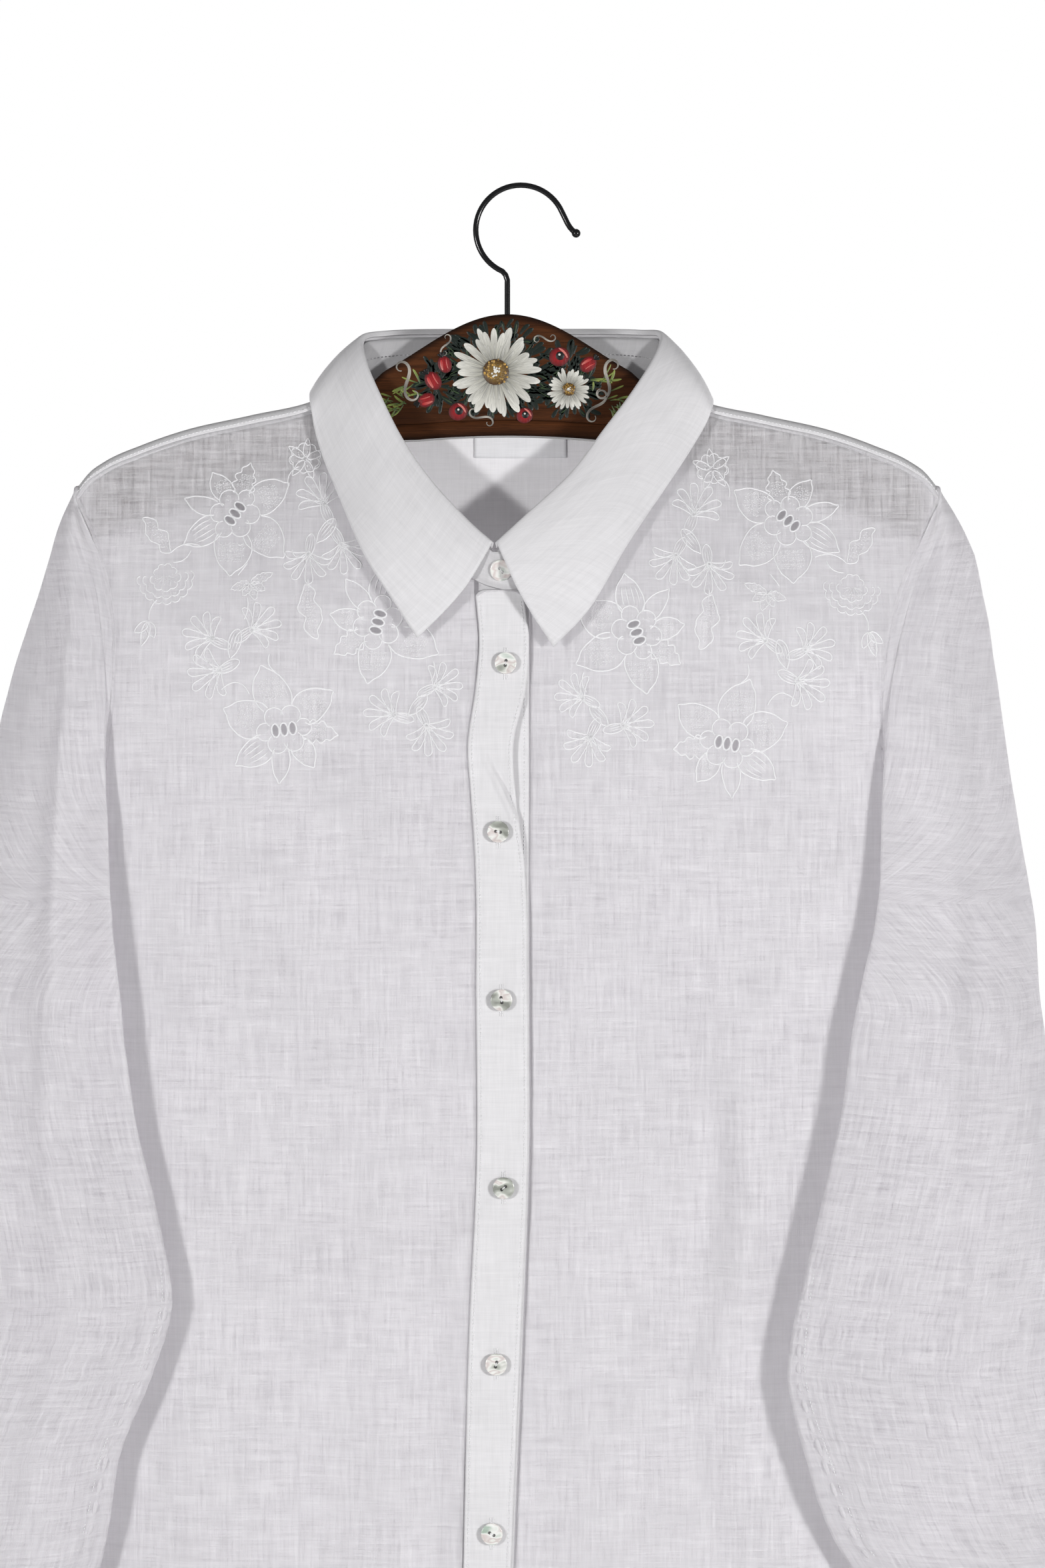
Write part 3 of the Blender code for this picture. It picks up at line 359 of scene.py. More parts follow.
BAND_CREASES = (
    Crease(-14.5, -291, 6.0, -335, -1.2, 2.1, 1.6),
    Crease(-11.0, -296, 8.0, -332, -1.2, -1.8, 2.1),
    Crease(-18.0, -272, 4.0, -276, 0.5, -0.4, 2.0),
    Crease(-14.0, -240, 10.0, -262, 1.5, 0.5, 4.0),
    Crease(-12.0, -228, 10.0, -240, 1.0, -0.4, 3.0),
    Crease(-18.0, -356, 10.0, -364, 0.8, -0.4, 2.2),
    Crease(-16.0, -398, 11.0, -402, 0.6, 0.4, 3.0),
    Crease(-16.0, -436, 11.0, -430, 0.6, -0.5, 2.5),
    Crease(-16.0, -494, 10.0, -500, 0.6, 0.4, 3.0),
    Crease(-17.0, -540, 9.0, -530, 0.6, -0.4, 2.6),
    Crease(-20.0, -590, 6.0, -597, 0.6, 0.4, 3.0),
    Crease(-20.0, -622, 6.0, -616, 0.6, -0.4, 2.6),
)

# Sleeve folds: z, bow and height as above, but x and width as shares of the way round from the
# inner fold to the outer edge
SLEEVE_CREASES = {
    "right": (
        Crease(0.36, -200, 0.47, -560, 0.03, -4.4, 0.070),
        Crease(0.47, -430, 0.36, -770, 0.02, -3.6, 0.075),
        Crease(0.58, -230, 0.66, -640, 0.02, 1.6, 0.090),
        Crease(0.20, -260, 0.24, -560, -0.02, 1.5, 0.070),
        Crease(0.80, -300, 0.78, -640, 0.02, -1.4, 0.060),
        Crease(0.10, -225, 0.12, -330, 0.00, -1.2, 0.040),
        Crease(0.16, -610, 0.60, -690, 0.04, -1.2, 0.050),
    ),
    "left": (
        Crease(0.62, -330, 0.68, -580, 0.02, 1.9, 0.080),
        Crease(0.48, -300, 0.54, -660, 0.02, -1.7, 0.080),
        Crease(0.06, -400, 0.30, -452, 0.02, 1.0, 0.060),
        Crease(0.04, -425, 0.28, -492, 0.02, -0.9, 0.050),
        Crease(0.24, -480, 0.34, -640, 0.02, 1.0, 0.080),
        Crease(0.84, -250, 0.86, -620, 0.01, -1.3, 0.060),
        Crease(0.22, -220, 0.30, -380, 0.01, 0.9, 0.070),
    ),
}

Button = namedtuple("Button", "x z turn")
BUTTONS = (
    Button(-0.0031, -0.2010, 125.0),
    Button(-0.0007, -0.2490, 80.0),
    Button(-0.0045, -0.3347, 170.0),
    Button(-0.0028, -0.4200, 100.0),
    Button(-0.0017, -0.5153, 40.0),
    Button(-0.0055, -0.6050, 75.0),
    Button(-0.0077, -0.6908, 150.0),
    Button(-0.0083, -0.7795, 95.0),
)


def length_property(name, description, default):
    return bpy.props.FloatProperty(name=name, description=description, default=default, unit="LENGTH")


def colour_property(name, description, default):
    look = {"size": 3, "subtype": "COLOR"}
    return bpy.props.FloatVectorProperty(name=name, description=description, default=default, **look)


class ShirtSizes(bpy.types.PropertyGroup):
    """Sizes that a user may change before the pieces are made."""

    cloth_wall: length_property("Cloth wall", "Thickness of the drawn linen", 0.0006)
    band_wall: length_property("Band wall", "Thickness of collar, cuffs and front bands", 0.0012)
    rumple: length_property("Rumple", "Height of the linen's soft unevenness", 0.00030)
    line_width: length_property("Line width", "Width of an embroidered outline", 0.00078)
    line_height: length_property("Line height", "Height of an embroidered outline", 0.00040)
    stitch_pitch: length_property("Stitch pitch", "Distance from one sewn stitch to the next", 0.0020)
    button_radius: length_property("Button radius", "Half the width of a shell button", 0.0055)


class ShirtColours(bpy.types.PropertyGroup):
    """Base colours of the finishes."""

    linen: colour_property("Linen", "Colour of the single cloth", (0.938, 0.928, 0.943))
    band: colour_property("Band", "Colour of the doubled cloth", (0.86, 0.85, 0.865))
    thread: colour_property("Thread", "Colour of embroidery and stitches", (0.935, 0.93, 0.945))
    wood: colour_property("Wood", "Colour of the hanger's stained wood", (0.056, 0.018, 0.0055))
    wire: colour_property("Wire", "Colour of the hook's lacquer", (0.008, 0.008, 0.009))


def spline(keys, values, at):
    """Values at keys on a smooth curve through a rising list of keys."""
    keys = np.asarray(keys, float)
    values = np.asarray(values, float)
    slopes = np.gradient(values, keys)
    at = np.clip(at, keys[0], keys[-1])
    i = np.clip(np.searchsorted(keys, at) - 1, 0, len(keys) - 2)
    step = keys[i + 1] - keys[i]
    t = (at - keys[i]) / step
    return (
        (2 * t**3 - 3 * t**2 + 1) * values[i]
        + (t**3 - 2 * t**2 + t) * step * slopes[i]
        + (3 * t**2 - 2 * t**3) * values[i + 1]
        + (t**3 - t**2) * step * slopes[i + 1]
    )


def level(rows, field, z):
    """A column of a table at height z; the tables run downwards."""
    return spline([-row.z for row in rows], [getattr(row, field) for row in rows], -np.asarray(z))


def across(rows, field, x):
    """A column of a table at a distance from the middle."""
    return spline([row.x for row in rows], [getattr(row, field) for row in rows], np.abs(x))


def eased(value, low, high):
    t = np.clip((value - low) / (high - low), 0.0, 1.0)
    return t * t * (3.0 - 2.0 * t)


def mixed(a, b, share):
    return a + (b - a) * share


def roundness(x, z):
    reach = np.minimum(np.abs(x) / level(BODY, "side", z), 1.0)
    return np.sqrt(1.0 - reach**3)


def front_y(x, z):
    """Depth of the front of the body: flat on the hanger's arms, full at the chest."""
    fall = eased(across(SHOULDER, "front_start", x) - z, 0.0, 0.120)
    return -mixed(RIDGE_HALF, level(BODY, "front", z) * roundness(x, z), fall)


def back_y(x, z):
    fall = eased(across(SHOULDER, "back_start", x) - z, 0.0, 0.100)
    return mixed(RIDGE_HALF, level(BODY, "back", z) * roundness(x, z), fall)


def side_x(side, z):
    """The outer edge of the panels: armhole above the underarm, then side seam."""
    return np.where(np.asarray(z) >= UNDERARM_Z, level(ARMHOLE, side, z), level(BODY, "side", z))


def top_z(x):
    """The front panels' top: the neck seam, then the shoulder seam just in front of the ridge."""
    shoulder = across(SHOULDER, "ridge", x) - RIDGE_DROP
    return np.where(np.abs(x) < NECK_X, across(NECK, "front_seam", x), shoulder)


def lap_lift(x, z, side):
    """How far the right front rises to reach its buttonhole band, which lies on top."""
    if side == "left":
        return np.zeros_like(np.asarray(x, float) + np.asarray(z, float))
    seam = level(BANDS, "seam", z)
    return LAP_STEP * eased((x - seam + LAP_EASE) / LAP_EASE, 0.0, 1.0)


def creased(rows, x, z, unit=0.001):
    """Height of a set of creases at x, z. The tables are in millimetres."""
    total = np.zeros_like(np.asarray(x, float) + np.asarray(z, float))
    for row in rows:
        dx = (row.x1 - row.x0) * unit
        dz = (row.z1 - row.z0) * 0.001
        length = math.hypot(dx, dz)
        from_x = x - row.x0 * unit
        from_z = z - row.z0 * 0.001
        along = (from_x * dx + from_z * dz) / length**2
        bow = row.bow * unit * 4.0 * along * (1.0 - along)
        off = (from_x * dz - from_z * dx) / length - bow
        taper = eased(along, -0.05, 0.35) * (1.0 - eased(along, 0.62, 1.05))
        total += row.height * 0.001 * taper * np.exp(-((off / (row.width * unit)) ** 2))
    return total


def rumpled(x, z, seed, longest=0.075, shortest=0.016, waves=22):
    """Soft unevenness between -1 and 1 from waves of mixed lengths and directions."""
    draw = np.random.default_rng(seed)
    total = np.zeros_like(np.asarray(x, float) + np.asarray(z, float))
    for _ in range(waves):
        turn = draw.uniform(0.0, math.pi)
        length = shortest * (longest / shortest) ** draw.uniform(0.0, 1.0)
        phase = draw.uniform(0.0, 2.0 * math.pi)
        weight = (length / longest) ** 0.8
        run = x * math.cos(turn) + z * math.sin(turn)
        total += weight * np.sin(2.0 * math.pi * run / length + phase)
    return total / math.sqrt(waves)


def puckered(distance, along, reach=0.012, pitch=0.009, seed=3):
    """Small gathers that a seam draws into the cloth beside it."""
    wave = np.sin(2 * math.pi * along / pitch + 1.7 * np.sin(along / 0.023 + seed))
    return wave * np.exp(-np.abs(distance) / reach)


def front_folds(x, z, side):
    """Outward height of the folds of one front."""
    sizes = bpy.context.scene.shirt_sizes
    outer = SIDES[side] * side_x(side, z)
    seam = level(BANDS, "seam" if side == "right" else "under", z)
    low = eased(-z, 0.16, 0.24)
    folds = FRONT_FOLD_DEPTH * creased(FRONT_CREASES[side], x, z)
    folds = folds + sizes.rumple * rumpled(x, z, 11 if side == "right" else 12) * mixed(0.5, 1.0, low)
    folds = folds + 0.00016 * puckered(x - outer, z, seed=1)
    folds = folds + 0.00010 * puckered(x - seam, z, 0.006, 0.011, 5)
    hold = 1.0 - np.exp(-(((x - seam) / 0.006) ** 2))
    return folds * mixed(0.35, 1.0, hold)


def front_surface(x, z, side, out=0.0):
    """Points of a front, out metres off the middle of its cloth."""
    x = np.asarray(x, float)
    z = np.asarray(z, float)
    y = front_y(x, z) - lap_lift(x, z, side) - front_folds(x, z, side) - out
    return np.stack([x, y, z], axis=-1)


def new_object(name, mesh):
    obj = bpy.data.objects.new(name, mesh)
    bpy.context.scene.collection.objects.link(obj)
    return obj


def deselect():
    if bpy.context.mode != "OBJECT":
        bpy.ops.object.mode_set(mode="OBJECT")
    bpy.ops.object.select_all(action="DESELECT")


def make_active(obj):
    deselect()
    obj.select_set(True)
    bpy.context.view_layer.objects.active = obj


def apply_modifier(obj, kind, **settings):
    make_active(obj)
    modifier = obj.modifiers.new(kind.title(), kind)
    for name, value in settings.items():
        setattr(modifier, name, value)
    bpy.ops.object.modifier_apply(modifier=modifier.name)


def mesh_from(name, points, faces, uv, colours=None):
    """A smooth mesh from arrays of points and faces, with a UV point and a colour for each point."""
    points = np.asarray(points, float).reshape(-1, 3) + (STEM_X, 0.0, 0.0)
    mesh = bpy.data.meshes.new(name)
    mesh.from_pydata(points.tolist(), [], np.asarray(faces).tolist())
    corners = np.empty(len(mesh.loops), np.int32)
    mesh.loops.foreach_get("vertex_index", corners)
    layer = mesh.uv_layers.new(name="Cloth")
    layer.data.foreach_set("uv", np.asarray(uv, float).reshape(-1, 2)[corners].ravel())
    if colours is not None:
        paint = mesh.color_attributes.new("Paint", "FLOAT_COLOR", "POINT")
        rgba = np.ones((len(points), 4))
        rgba[:, :3] = np.asarray(colours, float).reshape(-1, 3)
        paint.data.foreach_set("color", rgba.ravel())
    mesh.shade_smooth()
    mesh.validate()
    return new_object(name, mesh)


def grid_faces(rows, columns, keep=None):
    """Quads of a grid that has this many points each way."""
    corner = np.arange(rows * columns).reshape(rows, columns)
    quads = np.stack([corner[:-1, :-1], corner[1:, :-1], corner[1:, 1:], corner[:-1, 1:]], axis=-1)
    if keep is not None:
        quads = quads[keep]
    return quads.reshape(-1, 4)


def run_lengths(points, axis):
    """Distance along each row or column of a grid, for its UV map."""
    steps = np.linalg.norm(np.diff(points, axis=axis), axis=-1)
    zero = np.zeros_like(np.take(steps, [0], axis=axis))
    return np.concatenate([zero, np.cumsum(steps, axis=axis)], axis=axis)


def cloth(name, points, wall, material, uv=None, flip=False):
    """A grid of points as cloth: a thin wall with its middle on the points."""
    rows, columns = points.shape[:2]
    if uv is None:
        uv = np.stack([run_lengths(points, 1), -run_lengths(points, 0)], axis=-1)
    faces = grid_faces(rows, columns)
    if flip:
        faces = faces[:, ::-1]
    obj = mesh_from(name, points, faces, uv)
    apply_modifier(obj, "SOLIDIFY", thickness=wall, offset=0.0, use_quality_normals=True)
    obj.data.materials.append(material)
    return obj


def finish_piece(obj, slot, *nodes):
    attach(obj, "root")
    if nodes:
        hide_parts(*nodes)
    return obj


class Batch:
    """Many small shapes with four-sided faces, gathered into one mesh."""

    def __init__(self):
        self.points = []
        self.faces = []
        self.uv = []
        self.colours = []
        self.count = 0

    def add(self, points, faces, uv=None, colours=None):
        points = np.asarray(points, float).reshape(-1, 3)
        self.faces.append(faces + self.count)
        self.points.append(points)
        self.uv.append(np.zeros((len(points), 2)) if uv is None else np.asarray(uv).reshape(-1, 2))
        if colours is not None:
            self.colours.append(np.broadcast_to(colours, points.shape))
        self.count += len(points)

    def build(self, name, material):
        colours = np.concatenate(self.colours) if self.colours else None
        faces = np.concatenate(self.faces)
        obj = mesh_from(name, np.concatenate(self.points), faces, np.concatenate(self.uv), colours)
        obj.data.materials.append(material)
        return obj


def resampled(line, step, closed=False):
    """Evenly spaced points along a line of points; columns past the third are only carried along."""
    line = np.asarray(line, float)
    if closed:
        line = np.vstack([line, line[:1]])
    run = np.concatenate([[0.0], np.cumsum(np.linalg.norm(np.diff(line[:, :3], axis=0), axis=1))])
    count = max(int(round(run[-1] / step)), 2)
    at = np.linspace(0.0, run[-1], count + 1)
    return np.stack([np.interp(at, run, line[:, i]) for i in range(line.shape[1])], axis=1)


def directions(line):
    """Unit direction at each point of a line."""
    along = np.gradient(line, axis=0)
    return along / np.maximum(np.linalg.norm(along, axis=1, keepdims=True), 1e-9)


def raised_line(batch, flat_line, surface, width, height, closed=False, step=0.0011, taper=False):
    """A half-round line on a surface that is given as a function of x, z and height."""
    line = resampled(flat_line, step, closed)
    along = directions(line)
    if closed:
        along[0] = along[-1] = directions(np.vstack([line[-2], line[0], line[1]]))[1]
    side = np.stack([-along[:, 1], along[:, 0]], axis=1)
    shares = np.array([-0.5, -0.26, 0.26, 0.5])
    heights = np.array([-0.12, 0.85, 0.85, -0.12]) * height
    full = np.ones(len(line))
    if taper:
        full = np.clip(np.minimum(np.arange(len(line)), np.arange(len(line))[::-1]) / 3.0, 0.25, 1.0)
    spots = line[:, None, :] + side[:, None, :] * (shares[None, :, None] * width * full[:, None, None])
    points = surface(spots[..., 0], spots[..., 1], heights[None, :] * np.ones((len(line), 1)))
    run = np.arange(len(line)) * step
    uv = np.stack(np.broadcast_arrays(shares[None, :] * width, run[:, None]), axis=-1)
    batch.add(points, grid_faces(len(line), len(shares)), uv)


STITCH_RINGS = ((0.0, 0.35), (0.22, 1.0), (0.78, 1.0), (1.0, 0.35))


def stitch_row(batch, line, normals, pitch, width=0.00062, gap=0.34, height=0.00034):
    """Sewn stitches along a line of points in space, each a small rounded bar."""
    line = resampled(np.hstack([line, normals]), pitch)
    starts = line[:-1, :3]
    ends = line[1:, :3]
    up = line[:-1, 3:]
    up = up / np.linalg.norm(up, axis=1, keepdims=True)
    ends = starts + (ends - starts) * (1.0 - gap)
    along = ends - starts
    sideways = np.cross(up, along)
    sideways /= np.maximum(np.linalg.norm(sideways, axis=1, keepdims=True), 1e-9)
    rings = []
    for share, size in STITCH_RINGS:
        middle = starts + along * share + up * (height * 0.25)
        for a, b in ((-0.5, 0.0), (0.0, 1.0), (0.5, 0.0), (0.0, -0.6)):
            rings.append(middle + sideways * (a * width * size) + up * (b * height * size))
    points = np.stack(rings, axis=1)
    count = len(starts)
    quads = []
    for ring in range(len(STITCH_RINGS) - 1):
        for i in range(4):
            a, b = ring * 4 + i, ring * 4 + (i + 1) % 4
            quads.append((a, b, b + 4, a + 4))
    quads.append((3, 2, 1, 0))
    quads.append((12, 13, 14, 15))
    quads = np.array(quads)
    faces = quads[None, :, :] + (np.arange(count) * points.shape[1])[:, None, None]
    batch.add(points.reshape(-1, 3), faces.reshape(-1, 4))


def feed(tree, socket, value):
    """Links an input to another node's output, or sets it to a constant."""
    if isinstance(value, bpy.types.NodeSocket):
        tree.links.new(value, socket)
    else:
        socket.default_value = value


def node(tree, kind, **values):
    """A shader node with some of its settings and inputs given."""
    made = tree.nodes.new(kind)
    for name, value in values.items():
        socket = made.inputs.get(name.replace("_", " "))
        if socket is None:
            setattr(made, name, value)
        else:
            feed(tree, socket, value)
    return made


def blank_material(name):
    made = bpy.data.materials.new(name)
    made.use_nodes = True
    made.node_tree.nodes.clear()
    return made, made.node_tree


def completed(made, shader, colour=(0.8, 0.8, 0.8)):
    """The material with its shader joined on; the colour is the viewport's alone."""
    output = made.node_tree.nodes.new("ShaderNodeOutputMaterial")
    made.node_tree.links.new(shader.outputs[0], output.inputs["Surface"])
    made.diffuse_color = (*colour, 1.0)
    return made


def noise(tree, source, scale, detail=2.0, roughness=0.55, shift=(0.0, 0.0, 0.0), output=0):
    """Noise drawn out by its scale, as threads, grain and bristle marks are."""
    mapping = node(tree, "ShaderNodeMapping", Vector=source, Scale=scale, Location=shift)
    values = {"Vector": mapping.outputs[0], "Scale": 1.0, "Detail": detail, "Roughness": roughness}
    return node(tree, "ShaderNodeTexNoise", **values).outputs[output]


def combined(tree, operation, a, b):
    made = node(tree, "ShaderNodeMath", operation=operation)
    feed(tree, made.inputs[0], a)
    feed(tree, made.inputs[1], b)
    return made.outputs[0]


def ranged(tree, value, low, high, new_low, new_high):
    limits = {"From_Min": low, "From_Max": high, "To_Min": new_low, "To_Max": new_high}
    return node(tree, "ShaderNodeMapRange", Value=value, **limits).outputs[0]


def tinted(tree, colour, shade):
    """A colour with its alpha, or a socket of one, multiplied by a shade."""
    tint = node(tree, "ShaderNodeMix", data_type="RGBA", blend_type="MULTIPLY", Factor=1.0)
    feed(tree, tint.inputs[6], colour)
    feed(tree, tint.inputs[7], shade)
    return tint.outputs[2]


def bumped(tree, height, strength, distance, **settings):
    bump = node(tree, "ShaderNodeBump", Height=height, Strength=strength, Distance=distance, **settings)
    return bump.outputs[0]


def let_through(tree, shader, share, **lit):
    """The shader mixed with a share of light that comes through the threads from behind."""
    behind = node(tree, "ShaderNodeBsdfTranslucent", **lit)
    both = node(tree, "ShaderNodeMixShader")
    for socket, value in zip(both.inputs, (share, shader.outputs[0], behind.outputs[0])):
        feed(tree, socket, value)
    return both


# The range that the sum of linen's four thread noises covers
SLUB_RANGE = (1.45, 2.55)


def linen_material(name, colour, through, slub_depth=1.0):
    """Plain-woven linen with uneven threads both ways, which lets some light through."""
    made, tree = blank_material(name)
    where = tree.nodes.new("ShaderNodeUVMap").outputs[0]
    weft = noise(tree, where, (75.0, 1900.0, 1.0))
    warp = noise(tree, where, (1900.0, 75.0, 1.0), shift=(3.0, 7.0, 0.0))
    thick_weft = noise(tree, where, (28.0, 620.0, 1.0), shift=(9.0, 1.0, 0.0))
    thick_warp = noise(tree, where, (620.0, 28.0, 1.0), shift=(5.0, 2.0, 0.0))
    cloud = noise(tree, where, (14.0, 14.0, 1.0), 3.0)
    fine = combined(tree, "ADD", weft, warp)
    coarse = combined(tree, "ADD", thick_weft, thick_warp)
    slubs = combined(tree, "ADD", fine, coarse)
    shade = ranged(tree, slubs, *SLUB_RANGE, 0.93, 1.035)
    shade = combined(tree, "MULTIPLY", shade, ranged(tree, cloud, 0.3, 0.7, 0.985, 1.012))
    tint = tinted(tree, (*colour, 1.0), shade)
    bump = bumped(tree, slubs, 0.22 * slub_depth, 0.0004)
    sheen = {"Specular_IOR_Level": 0.25, "Sheen_Weight": 0.12, "Sheen_Roughness": 0.5}
    shader = node(tree, "ShaderNodeBsdfPrincipled", Roughness=0.85, Base_Color=tint, Normal=bump, **sheen)
    share = ranged(tree, slubs, *SLUB_RANGE, through * 1.30, through * 0.70)
    return completed(made, let_through(tree, shader, share, Color=tint, Normal=bump), colour)


def thread_material(name, colour, through, pitch=0.00045):
    """Mercerised thread: white, a little glossy, with its turns across the line."""
    made, tree = blank_material(name)
    where = tree.nodes.new("ShaderNodeUVMap").outputs[0]
    mapping = node(tree, "ShaderNodeMapping", Vector=where, Rotation=(0.0, 0.0, math.radians(28)))
    waves = {"Vector": mapping.outputs[0], "Scale": 0.314 / pitch, "Distortion": 1.5}
    turns = node(tree, "ShaderNodeTexWave", bands_direction="Y", **waves)
    bump = bumped(tree, turns.outputs[1], 0.35, 0.0002)
    gloss = {"Roughness": 0.5, "Specular_IOR_Level": 0.4, "Sheen_Weight": 0.2}
    shader = node(tree, "ShaderNodeBsdfPrincipled", Base_Color=(*colour, 1.0), Normal=bump, **gloss)
    return completed(made, let_through(tree, shader, through, Color=(*colour, 1.0)), colour)


def nacre_material(name):
    """Mother-of-pearl: grey-white bands of green and rose under a clear polish."""
    made, tree = blank_material(name)
    where = tree.nodes.new("ShaderNodeTexCoord").outputs["Object"]
    warp = noise(tree, where, (120.0, 120.0, 120.0), output=1)
    moved = node(tree, "ShaderNodeVectorMath", operation="MULTIPLY_ADD")
    tree.links.new(warp, moved.inputs[0])
    moved.inputs[1].default_value = (0.006, 0.006, 0.006)
    tree.links.new(where, moved.inputs[2])
    bands = noise(tree, moved.outputs[0], (95.0, 60.0, 190.0), 1.5, 0.40)
    ramp = node(tree, "ShaderNodeValToRGB")
    tree.links.new(bands, ramp.inputs[0])
    stops = (
        (0.32, (0.27, 0.28, 0.25)),
        (0.42, (0.48, 0.50, 0.45)),
        (0.50, (0.86, 0.86, 0.82)),
        (0.56, (0.66, 0.58, 0.56)),
        (0.63, (0.90, 0.90, 0.87)),
        (0.74, (0.40, 0.50, 0.42)),
    )
    while len(ramp.color_ramp.elements) < len(stops):
        ramp.color_ramp.elements.new(0.5)
    for element, (place, colour) in zip(ramp.color_ramp.elements, stops):
        element.position = place
        element.color = (*colour, 1.0)
    polish = {"Roughness": 0.22, "Specular_IOR_Level": 0.7, "Coat_Weight": 0.6, "Coat_Roughness": 0.08}
    shader = node(tree, "ShaderNodeBsdfPrincipled", Base_Color=ramp.outputs[0], **polish)
    return completed(made, shader, (0.62, 0.62, 0.60))


def wood_material(name, colour):
    """Stained hardwood with long fine grain, darker in its pores; painted shade darkens its rounded edges,
    its outline and the groove along its bead.
    """
    made, tree = blank_material(name)
    where = tree.nodes.new("ShaderNodeTexCoord").outputs["Object"]
    grain = noise(tree, where, (16.0, 260.0, 620.0), 5.0, 0.65)
    figure = noise(tree, where, (7.0, 60.0, 110.0), 3.0, 0.5, (4.0, 1.0, 2.0))
    pores = noise(tree, where, (90.0, 900.0, 2600.0), 2.0, 0.6, (1.0, 8.0, 3.0))
    # Painted shade: the UV's second value, the distance to the board's outline, darkens the rims, the outline
    # and the bead's groove
    height = node(tree, "ShaderNodeSeparateXYZ")
    tree.links.new(tree.nodes.new("ShaderNodeUVMap").outputs[0], height.inputs[0])
    shade = ranged(tree, grain, 0.3, 0.7, 0.62, 1.45)
    for source, limits in (
        (figure, (0.3, 0.7, 0.75, 1.3)),
        (pores, (0.55, 0.72, 1.0, 0.45)),
        (height.outputs[1], (0.0006, 0.0040, 0.22, 1.0)),
    ):
        shade = combined(tree, "MULTIPLY", shade, ranged(tree, source, *limits))
    tint = tinted(tree, (*colour, 1.0), shade)
    bump = bumped(tree, pores, 0.3, 0.0003, invert=True)
    stain = {"Roughness": 0.40, "Specular_IOR_Level": 0.18}
    shader = node(tree, "ShaderNodeBsdfPrincipled", Base_Color=tint, Normal=bump, **stain)
    return completed(made, shader, colour)


def paint_material(name):
    """Brushed oil colour, with the bristles' streaks along each stroke."""
    made, tree = blank_material(name)
    paint = node(tree, "ShaderNodeVertexColor", layer_name="Paint")
    where = tree.nodes.new("ShaderNodeUVMap").outputs[0]
    streaks = noise(tree, where, (2600.0, 160.0, 1.0), 3.0)
    tint = tinted(tree, paint.outputs[0], ranged(tree, streaks, 0.35, 0.65, 0.72, 1.06))
    bump = bumped(tree, streaks, 0.5, 0.0002)
    shader = node(tree, "ShaderNodeBsdfPrincipled", Roughness=0.38, Base_Color=tint, Normal=bump)
    return completed(made, shader)


def wire_material(name, colour):
    """Black lacquer over drawn wire, slightly uneven."""
    made, tree = blank_material(name)
    where = tree.nodes.new("ShaderNodeTexCoord").outputs["Object"]
    lumps = noise(tree, where, (260.0, 260.0, 260.0), 2.0)
    bump = bumped(tree, lumps, 0.16, 0.0004)
    gloss = {"Roughness": 0.17, "Specular_IOR_Level": 0.5}
    shader = node(tree, "ShaderNodeBsdfPrincipled", Base_Color=(*colour, 1.0), Normal=bump, **gloss)
    return completed(made, shader, colour)


def finish(name):
    """The material of this name, made when it is first asked for."""
    known = bpy.data.materials.get(name)
    if known:
        return known
    colours = bpy.context.scene.shirt_colours
    makers = {
        "Linen": lambda: linen_material(name, colours.linen, 0.63),
        # Painted shade: the back's linen is a darker copy of the fronts', which darkens the inside of the
        # neck; it also lets far less light through
        "Linen back with painted shade": lambda: linen_material(name, [0.94 * c for c in colours.linen], 0.05),
        "Linen band": lambda: linen_material(name, colours.band, 0.18, 0.35),
        "Woven label": lambda: linen_material(name, (0.87, 0.87, 0.885), 0.06, 0.3),
        "Thread": lambda: thread_material(name, colours.thread, 0.10),
        "Embroidery thread": lambda: thread_material(name, colours.thread, 0.10),
        "Nacre": lambda: nacre_material(name),
        "Wood": lambda: wood_material(name, colours.wood),
        "Brushed paint": lambda: paint_material(name),
        "Black lacquer": lambda: wire_material(name, colours.wire),
    }
    return makers[name]()


def slot_cutter(side):
    """Short bars that cut the flowers' slots through a front."""
    deselect()
    bars = []
    for flower in FLOWERS:
        if flower.side != side:
            continue
        heading = math.radians(flower.heading)
        for i in (-1, 0, 1):
            x = flower.x + i * SLOT_PITCH * math.cos(heading)
            z = flower.z + i * SLOT_PITCH * math.sin(heading)
            spot = front_surface(x, z, side)
            bpy.ops.mesh.primitive_cylinder_add(
                vertices=20,
                radius=SLOT_WIDTH / 2,
                depth=0.006,
                location=(float(spot[0]) + STEM_X, float(spot[1]), float(spot[2])),
                rotation=(math.pi / 2, 0.0, 0.0),
            )
            bar = bpy.context.object
            bar.scale = (1.0, SLOT_LENGTH / SLOT_WIDTH, 1.0)
            tilt = Matrix.Rotation(-heading, 4, "Y")
            place = Matrix.Translation(bar.location)
            bar.matrix_world = place @ tilt @ place.inverted() @ bar.matrix_basis
            bars.append(bar)
    for bar in bars:
        bar.select_set(True)
    bpy.context.view_layer.objects.active = bars[0]
    bpy.ops.object.join()
    cutter = bpy.context.object
    bpy.ops.object.transform_apply(location=True, rotation=True, scale=True)
    return cutter


def front_grid(side, rows=230, columns=96):
    sign = SIDES[side]
    edge_field = "seam" if side == "right" else "under"
    gap = sign * BAND_GAP
    first = float(level(BANDS, edge_field, BAND_TOP_Z)) + gap
    share = np.linspace(0.0, 1.0, columns + 1)
    top_x = mixed(first, sign * (SHOULDER_X - SEAM_GAP / 2), share)
    fall = np.linspace(0.0, 1.0, rows + 1)[:, None]
    z = mixed(top_z(top_x)[None, :], HEM_Z, fall)
    inner = level(BANDS, edge_field, z) + gap
    outer = sign * (side_x(side, z) - SEAM_GAP / 2)
    x = mixed(inner, outer, share[None, :])
    return front_surface(x, z, side)


